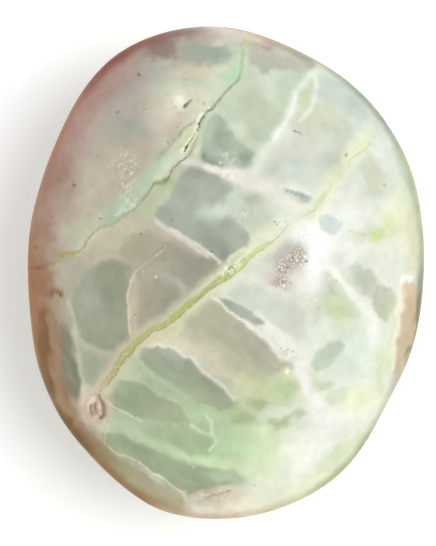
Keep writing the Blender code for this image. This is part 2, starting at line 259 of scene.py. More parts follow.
# %% Soft washes on the ground: colour, strength, middle, half length, half width, and turn
WASHES = (
    ((238, 243, 230), 0.9, (14, -1), 9, 16, 0), ((248, 249, 243), 0.9, (12, 5), 5, 2.4, 0),
    # The near-white wash at (10.3, 2.2) is partly painted highlight: the soft glare of the lamp on the
    # right of the face.
    ((254, 254, 252), 0.95, (10.3, 2.2), 3.8, 3.4, 0), ((240, 244, 234), 0.8, (15.4, 4), 1.8, 3, 20),
    ((240, 243, 232), 0.85, (19.3, 2.2), 1.5, 2.4, 14), ((226, 228, 216), 0.8, (13.2, 2.1), 1.2, 0.8, -40),
    ((204, 212, 184), 0.95, (12.8, -3), 3, 1.9, -62), ((219, 224, 208), 0.85, (8.8, -4), 2, 2.2, 0),
    ((218, 226, 206), 0.8, (15, -0.6), 1.2, 1.4, -40), ((220, 227, 200), 0.85, (17.4, 4.5), 2.8, 0.8, 4),
    ((227, 235, 214), 0.8, (17.2, 2.2), 1.8, 1.1, 0), ((224, 230, 210), 0.85, (21.2, 0.9), 1.3, 2.2, 0),
    ((203, 206, 182), 0.85, (19.2, 10.3), 1, 1.2, 20), ((211, 221, 195), 0.8, (21.2, 12), 1.5, 2.2, 14),
    ((212, 217, 188), 0.85, (23, 5), 0.8, 5, 3), ((229, 238, 220), 0.7, (14, -7), 3, 1, 0),
    ((247, 248, 238), 0.85, (10, -20.6), 6, 4.4, 20), ((228, 238, 226), 0.7, (18, 14), 4, 5, 30),
    ((186, 197, 189), 0.85, (14.9, 21.3), 4, 1.9, -46), ((206, 221, 206), 0.7, (12.4, 21.6), 2.2, 3, 0),
    ((245, 243, 227), 0.8, (21.2, 4.6), 0.7, 2, 0), ((213, 217, 172), 0.65, (22.4, 5.6), 0.6, 1.8, 0),
    ((241, 243, 227), 0.8, (7.8, -21.2), 1.6, 2.6, 0), ((203, 218, 194), 0.8, (7.6, 22.6), 2.6, 1.8, 0),
    ((222, 228, 214), 0.6, (5.2, 22.8), 1.2, 1.6, 0), ((197, 187, 168), 0.8, (-13.4, 10.5), 4.6, 3.2, 70),
    ((203, 199, 177), 0.85, (-14.6, 6.2), 3.4, 1.2, 38), ((178, 168, 156), 0.8, (-19.6, 4.6), 1.2, 2.4, 0),
    ((190, 196, 166), 0.7, (-17.8, 4.6), 1.2, 1.6, -20), ((184, 176, 156), 0.8, (-16.6, 1.9), 2, 0.9, 10),
    ((171, 170, 157), 0.85, (-12, 17.6), 2.8, 1.9, 20),
    ((160, 174, 158), 0.55, (-10.2, 17.4), 1.8, 1.2, 10), ((172, 164, 156), 0.7, (-12.4, 22.2), 3, 2, 40),
    ((206, 197, 182), 0.85, (-7.6, 19), 2.6, 1.9, 60), ((217, 207, 193), 0.8, (-6.8, 19.3), 1.5, 1.2, 60),
    ((186, 190, 176), 0.85, (-7.4, 23.8), 2, 1.8, 0), ((202, 216, 192), 0.85, (-4.8, 22.2), 3.6, 1, 10),
    ((224, 219, 196), 0.85, (-4.4, 20.4), 2.2, 1.5, 10),
    ((240, 240, 218), 0.9, (-5.5, 20.55), 1.1, 0.7, -10), ((222, 211, 189), 0.75, (-3.6, 24), 2.6, 0.8, 10),
    ((202, 196, 174), 0.8, (-11.6, 5), 4, 1, 24), ((197, 189, 166), 0.8, (-12.6, 3), 2, 1.4, 0),
    ((204, 208, 180), 0.8, (-8.2, 8.4), 2.2, 1, 46), ((210, 214, 188), 0.85, (-5, 12.7), 1.2, 0.7, 50),
    ((174, 168, 150), 0.8, (-19.2, -2.6), 1, 3, 6), ((204, 208, 182), 0.8, (-12.6, -12.2), 1.6, 1, 40),
    ((196, 205, 174), 0.8, (-10.6, -11.4), 1.8, 0.8, 40),
    ((216, 205, 184), 0.85, (-16.6, -14.8), 1.6, 1.4, 40),
    ((204, 188, 168), 0.9, (-16.3, -16.8), 1.8, 2, 0),
    ((179, 192, 165), 0.9, (-11.4, -18.7), 4.4, 0.8, -22),
    ((186, 206, 172), 0.9, (-8, -20.4), 4.4, 0.8, -22), ((190, 214, 172), 0.9, (-2, -17), 2.4, 1.2, -20),
    ((192, 219, 175), 0.95, (1.4, -20.6), 3.6, 1.8, 0),
    ((208, 232, 188), 0.95, (-1.8, -22.7), 5, 0.75, -12), ((214, 230, 188), 0.8, (4.6, -20.6), 2, 2.4, 0),
    ((222, 232, 195), 0.8, (4.2, -23.6), 2.6, 1.6, 0), ((184, 199, 158), 0.8, (-0.4, -16.4), 2, 0.9, -10),
    ((206, 215, 172), 0.9, (5, -14.4), 4.6, 2, 10), ((214, 228, 190), 0.8, (6.6, -18.8), 2.4, 1.2, 10),
    ((214, 210, 185), 0.9, (-7.2, -7.8), 2, 0.6, 30), ((226, 222, 200), 0.9, (-4.6, -9), 2.6, 0.8, -22),
    ((217, 212, 188), 0.9, (-1.2, -11), 2.6, 1, -46), ((216, 218, 188), 0.9, (1.6, -13.6), 2.2, 0.8, -40),
    ((226, 228, 176), 0.8, (-5.2, -5.9), 2.6, 0.6, 40), ((218, 212, 168), 0.7, (-8.6, -8.2), 1.8, 0.6, 38),
    ((206, 206, 174), 0.7, (-3.4, -4.6), 1.6, 0.8, 40), ((236, 244, 206), 0.85, (1.8, 2.4), 2.4, 0.7, 38),
    ((232, 236, 208), 0.8, (4.6, 4.8), 1.8, 0.6, 40), ((148, 147, 111), 0.9, (-12.2, -24), 4.6, 1.3, -40),
    ((166, 160, 128), 0.85, (-9, -26.2), 3, 1, -28), ((176, 172, 144), 0.8, (-6.2, -26.6), 2, 1.2, -20),
    ((182, 184, 156), 0.9, (-3, -26.4), 2.4, 0.9, -6), ((198, 187, 164), 0.95, (-0.8, -26.9), 2.6, 0.8, 5),
    ((206, 194, 172), 0.9, (-1.4, -27.8), 2.8, 0.9, 0), ((214, 208, 186), 0.8, (1.2, -26), 2, 0.8, 0),
    ((242, 232, 209), 0.85, (2.2, -28.2), 2.6, 1, 6), ((242, 244, 222), 0.6, (7.6, -19.4), 1.4, 1, -40),
    ((214, 226, 196), 0.5, (12.4, -23.1), 1.8, 0.7, 40), ((202, 221, 174), 0.7, (13.4, -4.4), 2, 1.2, -50),
    ((208, 208, 188), 0.5, (-7.6, 15.6), 1.4, 0.9, 40), ((216, 232, 192), 0.5, (1, -23), 1.4, 0.6, -14),
    ((222, 231, 168), 0.8, (19.9, 5.9), 1.1, 1.4, 20), ((212, 228, 154), 0.85, (18.3, 4.3), 0.8, 0.7, 0),
    ((234, 238, 208), 0.7, (20.6, 8.4), 1, 2.6, 6), ((212, 223, 182), 0.9, (13.4, -4.6), 1.8, 1.1, -50),
    ((226, 230, 196), 0.8, (21.6, 5.6), 0.9, 2.6, 2), ((215, 227, 200), 0.8, (14.6, -21.4), 4, 1.3, 38),
    ((238, 244, 206), 0.85, (16, -15), 2.4, 1.6, 30), ((216, 226, 184), 0.75, (18.5, -11.6), 0.7, 3, 0),
    ((224, 240, 224), 0.6, (16, -9.6), 2.4, 2.4, 0), ((212, 214, 186), 0.8, (11, 18.6), 2.4, 1.2, 0),
    ((186, 192, 176), 0.75, (13.2, 12.9), 0.9, 1, 30), ((202, 212, 194), 0.7, (16.6, 14), 0.9, 1.2, 20),
    ((228, 202, 178), 0.7, (5.2, 28), 2.4, 0.8, -14), ((206, 190, 176), 0.8, (-0.4, 28.6), 3, 0.9, 0),
    ((188, 222, 180), 0.9, (0.9, 23.8), 1.4, 0.8, 60), ((200, 216, 186), 0.7, (0.8, 20.2), 2, 1, 50),
)

# %% The clear windows: colour, softness of the edge in mm, strength, and outline
WINDOWS = (
    ((196, 206, 182), 1.4, 0.8, ((1.5, 21.5), (3, 22.5), (5, 20.8), (6.5, 18.5), (5.2, 15.8), (3.5, 15.4),
        (1.5, 16.8), (0.8, 18.5))),
    ((155, 170, 155), 1.1, 0.9, ((-5.4, 27.8), (-2.5, 27.6), (0.3, 27.2), (0.6, 26.2), (-0.3, 25.3),
        (-1.2, 24.5), (-2.2, 24.7), (-2.6, 25.3), (-5, 25.4))),
    ((132, 112, 102), 1.3, 0.85, ((-10, 28.6), (-8.5, 28.8), (-5.8, 28), (-5.6, 26), (-8.5, 25.8),
        (-10.2, 26.6))),
    ((184, 186, 170), 0.8, 0.92, ((2.7, 27), (4, 27.3), (7, 27.4), (8.5, 27), (10.6, 25.7), (10.6, 24.5),
        (9.5, 24.2), (7, 24.5), (6, 24.3), (4, 24.1), (3, 25.1))),
    ((174, 187, 167), 0.6, 0.92, ((-3.1, 14), (-2.8, 14.8), (-2.6, 16), (-2.2, 17.4), (-1.7, 18.4),
        (-1.1, 18.7), (-0.5, 18.1), (0.1, 17.5), (0.6, 16.7), (1, 15.8), (1.9, 15.2), (3.2, 14.3),
        (2.6, 13.4), (1.8, 12.7), (0.6, 12.6), (-0.8, 12.8), (-2, 13.1))),
    ((210, 214, 200), 1.6, 0.8, ((4.4, 11.2), (7, 11), (9.6, 10.6), (11.2, 9.8), (12.3, 11), (13.6, 12.4),
        (14.1, 14), (15.6, 15.8), (15.4, 17.8), (13.5, 19), (10.6, 18.8), (9.2, 17.4), (8, 15.8),
        (6.6, 14.2), (5, 12.8))),
    ((173, 180, 166), 0.5, 0.92, ((-4.5, 12.4), (-3, 12.4), (-1.2, 11.8), (0.3, 11), (0.6, 10.3), (0, 9.6),
        (-0.6, 8.6), (-0.4, 7.6), (0.4, 6.6), (1.6, 5.4), (2.6, 4.4), (2.4, 3.4), (1.5, 2.4), (0.7, 1.6),
        (0.2, 1.1), (-0.9, 1.8), (-2, 3), (-4, 4.2), (-6.2, 5.4), (-8.4, 6.6), (-7.6, 7.6), (-6.6, 8.6),
        (-6.2, 9.6), (-5.5, 10.6), (-5, 11.6))),
    ((200, 208, 186), 1.4, 0.75, ((1.6, 5.6), (2.6, 5), (3.8, 4.8), (5.6, 5.8), (6, 6.8), (5.2, 8),
        (3.6, 9), (2, 9.2), (1.2, 8), (1, 6.6))),
    ((167, 166, 148), 0.4, 0.95, ((-7.3, 3.3), (-5.4, 4), (-3.4, 3), (-1.8, 2), (-0.9, 1), (-1.4, 0.2),
        (-2.4, -0.7), (-3.5, -1.8), (-4.3, -1.7), (-6, -0.9), (-8, -0.3), (-9.7, 0.8), (-8.6, 2))),
    ((178, 173, 151), 0.7, 0.85, ((-13, 2.4), (-11.4, 4.4), (-9.2, 5), (-7.7, 3.9), (-8.7, 2.4),
        (-10.4, 1.2), (-11.6, 0.9))),
    ((163, 161, 141), 0.4, 0.95, ((-10.9, 0), (-9.3, 1), (-8, -0.2), (-6, -0.8), (-4.3, -1.6), (-3.6, -2.2),
        (-4.6, -3.4), (-5.6, -4.3), (-6.8, -5.3), (-8, -6), (-9.4, -6.8), (-10.4, -7.6), (-11.4, -7.8),
        (-11.6, -5), (-11.7, -2.6), (-11.3, -0.9))),
    ((156, 160, 139), 0.6, 0.95, ((-16, 0.2), (-14.8, 1), (-13.4, 1.3), (-12.2, 0.9), (-11.1, 0),
        (-11.3, -0.8), (-11.8, -2), (-11.9, -4), (-11.8, -6.4), (-11.8, -7.6), (-12.6, -8.3), (-13.2, -9),
        (-14.5, -9.1), (-15.6, -8.7), (-17.2, -7.3), (-18.3, -5), (-18.2, -3), (-17, -1))),
    ((163, 171, 148), 0.9, 0.85, ((-17.4, -9.6), (-15.6, -9.9), (-14.2, -10.8), (-15.6, -12.8),
        (-17.1, -13.8))),
    ((117, 120, 95), 0.9, 0.95, ((-20, -6.2), (-19.3, -6.4), (-18.7, -8), (-18.1, -10), (-17.7, -12),
        (-17.4, -14.2), (-18, -15.6), (-19.2, -14.4), (-20, -11.4), (-20.2, -8.5))),
    ((163, 171, 150), 0.35, 0.95, ((-10.2, -9.8), (-9.6, -9.1), (-8.7, -9.1), (-8.3, -8.9), (-7, -9.1),
        (-6.3, -9.3), (-5.6, -9.8), (-5, -10.3), (-4.3, -10.4), (-3.8, -10.9), (-3.4, -11.5), (-2.8, -12.1),
        (-2.1, -12.5), (-1.6, -13.1), (-0.9, -13.6), (0, -14.3), (0.5, -15), (0.9, -15.6), (-0.5, -16.2),
        (-4, -14.9), (-6.5, -13.3), (-9, -11.3))),
    ((160, 170, 142), 0.7, 0.92, ((-14.4, -14.6), (-12.8, -13.2), (-11, -12.9), (-9, -13.9), (-7.5, -14.9),
        (-6, -15.7), (-5, -17), (-4.4, -18), (-7, -18), (-10, -17.8), (-11.5, -17.1), (-13, -16.1),
        (-14.4, -15.1))),
    ((167, 187, 152), 0.8, 0.85, ((-10.8, -18.6), (-7, -18.7), (-4, -19), (-2, -20), (-1.4, -20.8),
        (-2.5, -21.7), (-4.5, -21.9), (-6.5, -21.1), (-9, -19.8))),
    ((148, 161, 127), 0.6, 0.92, ((-14.8, -19.4), (-12.5, -19.8), (-10.5, -20.8), (-8.5, -21.8),
        (-6, -22.9), (-4, -23.5), (-1, -23.8), (1, -24.3), (1.8, -25), (-1, -25.3), (-3, -25.8),
        (-4.5, -26.5), (-6, -25.7), (-8, -24.5), (-9.5, -23.4), (-11.5, -22.3), (-13.8, -21.2))),
    ((187, 187, 165), 0.9, 0.9, ((-5.4, -5.2), (-3.4, -4), (-2, -3.5), (-0.8, -3.8), (0.6, -4.9), (2, -5.9),
        (3.5, -7), (5, -8.4), (6, -9.7), (7.2, -10.8), (8, -11.6), (5.4, -12), (3.4, -11.8), (1.8, -10.6),
        (0.4, -9), (-1.8, -7.6), (-4, -6.6))),
    ((162, 170, 156), 0.3, 0.92, ((-0.6, -3.5), (0.2, -3.5), (1.6, -4.1), (2.6, -4.7), (3.4, -5.3),
        (4.4, -5.9), (3.6, -6.1), (2.4, -5.4), (1, -4.7), (0, -4.1))),
    ((210, 216, 198), 1.2, 0.85, ((0.4, -2.4), (1.6, -1.4), (3.6, -1.6), (5.6, -2.6), (8, -3.2),
        (9.4, -4.2), (9.6, -6.8), (8.6, -8.8), (7.4, -7.6), (5.6, -6.2), (4.4, -5.2), (2.6, -4.2),
        (1.2, -3.4))),
    ((186, 198, 190), 0.25, 0.9, ((7, 9.9), (8.2, 9.6), (10, 9.1), (9.4, 8.7), (8.7, 8.7), (8, 9.2))),
    ((205, 218, 214), 0.3, 0.9, ((11.3, 6.5), (12, 6.8), (13, 6.3), (13.7, 5.9), (13.3, 5), (12.6, 4.7),
        (11.6, 5.3))),
    ((212, 219, 200), 1, 0.85, ((11.6, 0.2), (12.9, -1.2), (12.2, -3.6), (10.8, -6.2), (10.3, -4.4),
        (11, -2))),
    ((204, 211, 192), 0.7, 0.85, ((14.6, 0.8), (15.8, 0.9), (17.3, 0.5), (18.4, -0.7), (19, -1.8),
        (18.2, -3), (17.2, -3.2), (16.2, -2.6), (15.5, -1.2))),
    ((192, 199, 176), 0.6, 0.88, ((18.2, -2), (19.6, -2), (20.2, -3), (20, -4.4), (19.2, -5.6), (18.2, -5),
        (17.9, -3.6))),
    ((214, 218, 196), 1, 0.85, ((16.2, 9.4), (17.4, 9), (18.8, 10), (19.2, 11.8), (17.6, 13.6),
        (16.2, 13.2), (16.6, 11.6))),
    ((200, 214, 189), 0.6, 0.88, ((11, -9.8), (12.2, -8.7), (13.5, -8.2), (14, -8.8), (13.1, -10),
        (12, -11.1), (10.9, -11.6), (10.5, -11))),
    ((196, 210, 180), 0.7, 0.85, ((10.2, -13.2), (11.4, -12.9), (12.6, -13), (13, -13.6), (11.6, -14.1),
        (10.4, -14))),
    ((208, 219, 194), 0.9, 0.8, ((12.6, -14), (14, -14), (14.3, -15), (13.2, -15.8), (12.2, -15.2))),
    ((174, 189, 148), 0.7, 0.8, ((2, -15.2), (4.2, -14.8), (5.6, -15.4), (4.6, -16.4), (2.8, -16.2))),
    ((172, 188, 146), 0.8, 0.8, ((0.4, -16.8), (2.2, -16.8), (3.8, -17.2), (2.8, -18.2), (0.6, -17.8))),
    ((186, 199, 160), 0.7, 0.8, ((4.8, -17.4), (6.6, -17.6), (8.8, -16.4), (9.4, -16.9), (7, -18.6),
        (5, -18.4))),
    ((190, 206, 160), 0.8, 0.7, ((6.2, -13.4), (8.6, -12.8), (9, -13.8), (7.6, -15), (6, -14.6))),
)

# %% Milk, painted shade, a painted highlight and tints that lie over the windows, written as the washes are
VEILS = (
    ((214, 226, 213), 0.95, (-0.6, 7.3), 2.2, 0.9, 6), ((212, 223, 205), 0.8, (1, 8.2), 1.3, 1.1, 40),
    ((186, 192, 180), 0.6, (-2.4, 10.2), 2.2, 1.2, -20), ((180, 188, 176), 0.5, (-4, 8.4), 2, 1.2, 30),
    ((158, 164, 152), 0.7, (-4, 12), 1.2, 0.7, 20), ((146, 154, 142), 0.75, (0, 2.2), 1, 0.9, 0),
    ((154, 160, 150), 0.6, (-7.3, 7), 1.5, 0.7, 0), ((158, 166, 154), 0.6, (-1.6, 3.6), 1.6, 0.8, -30),
    ((182, 192, 180), 0.6, (0.8, 4.6), 1.2, 1, 40), ((156, 163, 146), 0.55, (-1.2, 8.9), 0.7, 0.4, 0),
    ((168, 174, 152), 0.5, (3, 8.9), 1, 0.6, 0), ((190, 176, 154), 0.85, (-11.1, -3.4), 0.8, 3.6, 0),
    ((177, 168, 147), 0.7, (-9.8, -2), 1.6, 2.4, 0), ((188, 180, 162), 0.7, (-8.8, 0.2), 1.6, 0.8, 20),
    ((190, 187, 172), 0.85, (-5.9, -1.4), 2.6, 0.55, -28), ((150, 152, 134), 0.6, (-6.2, -3.8), 2, 1, 35),
    ((162, 162, 148), 0.65, (-3.6, 0.8), 1.6, 1.2, 0), ((188, 196, 180), 0.7, (1.2, 3.1), 0.8, 0.7, 40),
    ((198, 210, 182), 0.6, (0.4, -24.7), 2.0, 0.9, -14), ((176, 168, 148), 0.5, (-6.6, 2.4), 1.4, 0.8, 30),
    ((146, 152, 132), 0.5, (-13, -2.4), 1.2, 2.6, 0), ((168, 170, 150), 0.6, (-15.9, -3.6), 1.1, 3, 12),
    ((162, 168, 148), 0.5, (-14.4, -7.2), 2, 1, -10), ((148, 158, 138), 0.5, (-5.6, -11), 1.8, 0.9, -32),
    ((156, 164, 142), 0.55, (-2.4, -13.4), 1.8, 0.8, -40), ((176, 188, 152), 0.6, (-3, -15), 2.4, 0.9, -26),
    ((148, 158, 130), 0.6, (-12.2, -15.4), 1.6, 1, 20), ((172, 186, 150), 0.5, (-7, -16.8), 2, 1, -10),
    ((136, 150, 116), 0.6, (-11.2, -20.9), 2.6, 0.6, -24),
    ((168, 186, 152), 0.7, (-6.4, -22.9), 2.4, 0.8, -24), ((182, 198, 168), 0.8, (-1, -24.4), 2, 0.7, -8),
    ((160, 174, 140), 0.7, (-4.4, -24.8), 2, 0.8, -20), ((166, 168, 154), 0.55, (4, -9.2), 1.7, 1.2, -45),
    ((200, 200, 168), 0.5, (0.6, -10.8), 2, 1, -40), ((196, 200, 168), 0.6, (3.2, -12), 2, 0.8, -10),
    ((140, 156, 140), 0.55, (2.2, 13.8), 0.9, 0.7, 30), ((152, 162, 144), 0.7, (-1.6, 13.4), 1.4, 0.4, -12),
    ((150, 160, 142), 0.6, (-2.6, 14), 0.3, 0.6, 20), ((160, 172, 154), 0.7, (-0.6, 16.2), 0.9, 1.3, 10),
    ((196, 212, 188), 0.6, (-1.9, 16.8), 0.7, 1.2, 10), ((150, 124, 112), 0.75, (5.4, 27.4), 3, 0.4, -3),
    ((160, 150, 140), 0.6, (9.6, 25.8), 1.1, 0.6, -30), ((150, 152, 142), 0.3, (8.6, 9.25), 1, 0.25, -20),
    # The near-white veils at (10.2, 0.3) and (10.3, -1.6) are partly painted highlight, at the edge of the
    # lamp's glare.
    ((222, 227, 216), 0.9, (13.1, 1.1), 0.9, 0.6, -30), ((253, 253, 248), 0.95, (10.2, 0.3), 1.1, 1.2, -10),
    ((243, 244, 237), 0.9, (10.3, -1.6), 1.3, 1.1, 0), ((242, 228, 218), 0.6, (8.6, -0.1), 0.8, 0.5, 40),
    ((232, 240, 220), 0.8, (15.2, -6.3), 2.2, 0.7, -8), ((192, 198, 178), 0.6, (10.9, -4.2), 0.6, 0.25, 50),
    ((196, 202, 184), 0.5, (8.6, -2.4), 0.5, 0.25, -30), ((188, 196, 174), 0.6, (12.7, -2), 0.25, 0.8, -24),
    ((222, 230, 210), 0.8, (1.5, 17.2), 0.8, 1.1, 40), ((213, 221, 190), 0.6, (10.9, 18.3), 2.4, 1.2, -20),
    ((225, 226, 211), 0.7, (9.8, 15), 2.4, 1.3, 10), ((217, 229, 217), 0.7, (9, 11.9), 3.6, 1.1, -8),
    ((200, 213, 190), 0.6, (14.2, 16.8), 1.3, 1.6, 20), ((192, 203, 183), 0.6, (12.8, 13.3), 0.9, 0.8, 45),
    ((182, 195, 154), 0.75, (6.2, -17.8), 1, 0.5, 20), ((210, 224, 186), 0.7, (1.8, -15.4), 0.9, 0.5, 0),
    ((222, 238, 200), 0.6, (4.4, -19.1), 1, 0.5, 10), ((224, 228, 182), 0.6, (2.2, -13.2), 1.1, 0.6, -20),
    ((228, 236, 172), 0.6, (7.2, -12.2), 0.6, 0.5, 0), ((178, 192, 146), 0.6, (2.2, -17), 1, 0.4, 15),
    ((176, 190, 146), 0.6, (1.2, -15.9), 0.7, 0.35, 30), ((204, 221, 184), 0.6, (7, -15.6), 1, 0.6, 0),
    ((218, 234, 192), 0.5, (3.9, -16.7), 0.6, 0.3, 0), ((202, 206, 190), 0.6, (5.8, 2.6), 1, 1.3, -30),
    ((196, 193, 184), 0.85, (6.6, 1.6), 2.4, 1.8, 42), ((184, 182, 174), 0.8, (7.6, 3), 1.3, 0.7, 0),
    ((198, 188, 176), 0.9, (7.6, 1.2), 2, 1.1, 46), ((208, 192, 178), 0.8, (6.3, -1.1), 1.6, 0.9, -15),
    ((178, 192, 160), 0.8, (-6.4, -14.1), 4, 0.5, -34), ((198, 213, 186), 0.85, (-7.2, 13.4), 1.3, 0.9, 50),
    ((212, 226, 206), 0.9, (-7.1, 13.2), 0.7, 0.6, 50), ((206, 212, 176), 0.9, (-4.8, 16), 2.2, 0.7, 55),
    ((190, 196, 156), 0.8, (-3.6, 15.4), 1.6, 0.4, 62), ((214, 216, 188), 0.8, (-3.4, 18.6), 1.2, 0.6, 60),
    ((186, 204, 178), 0.9, (-9.4, 11.4), 2.2, 0.9, 52), ((184, 203, 176), 0.9, (-12.2, 8), 2.4, 1, 28),
    ((196, 212, 188), 0.7, (-11.9, 8.2), 1, 0.6, 10), ((174, 190, 158), 0.8, (-13.6, 6.4), 1.4, 0.5, 22),
    ((192, 200, 164), 0.8, (-9.6, 7.6), 1.8, 0.5, 46), ((178, 176, 112), 0.85, (-18.9, 2.3), 1, 0.35, 4),
)

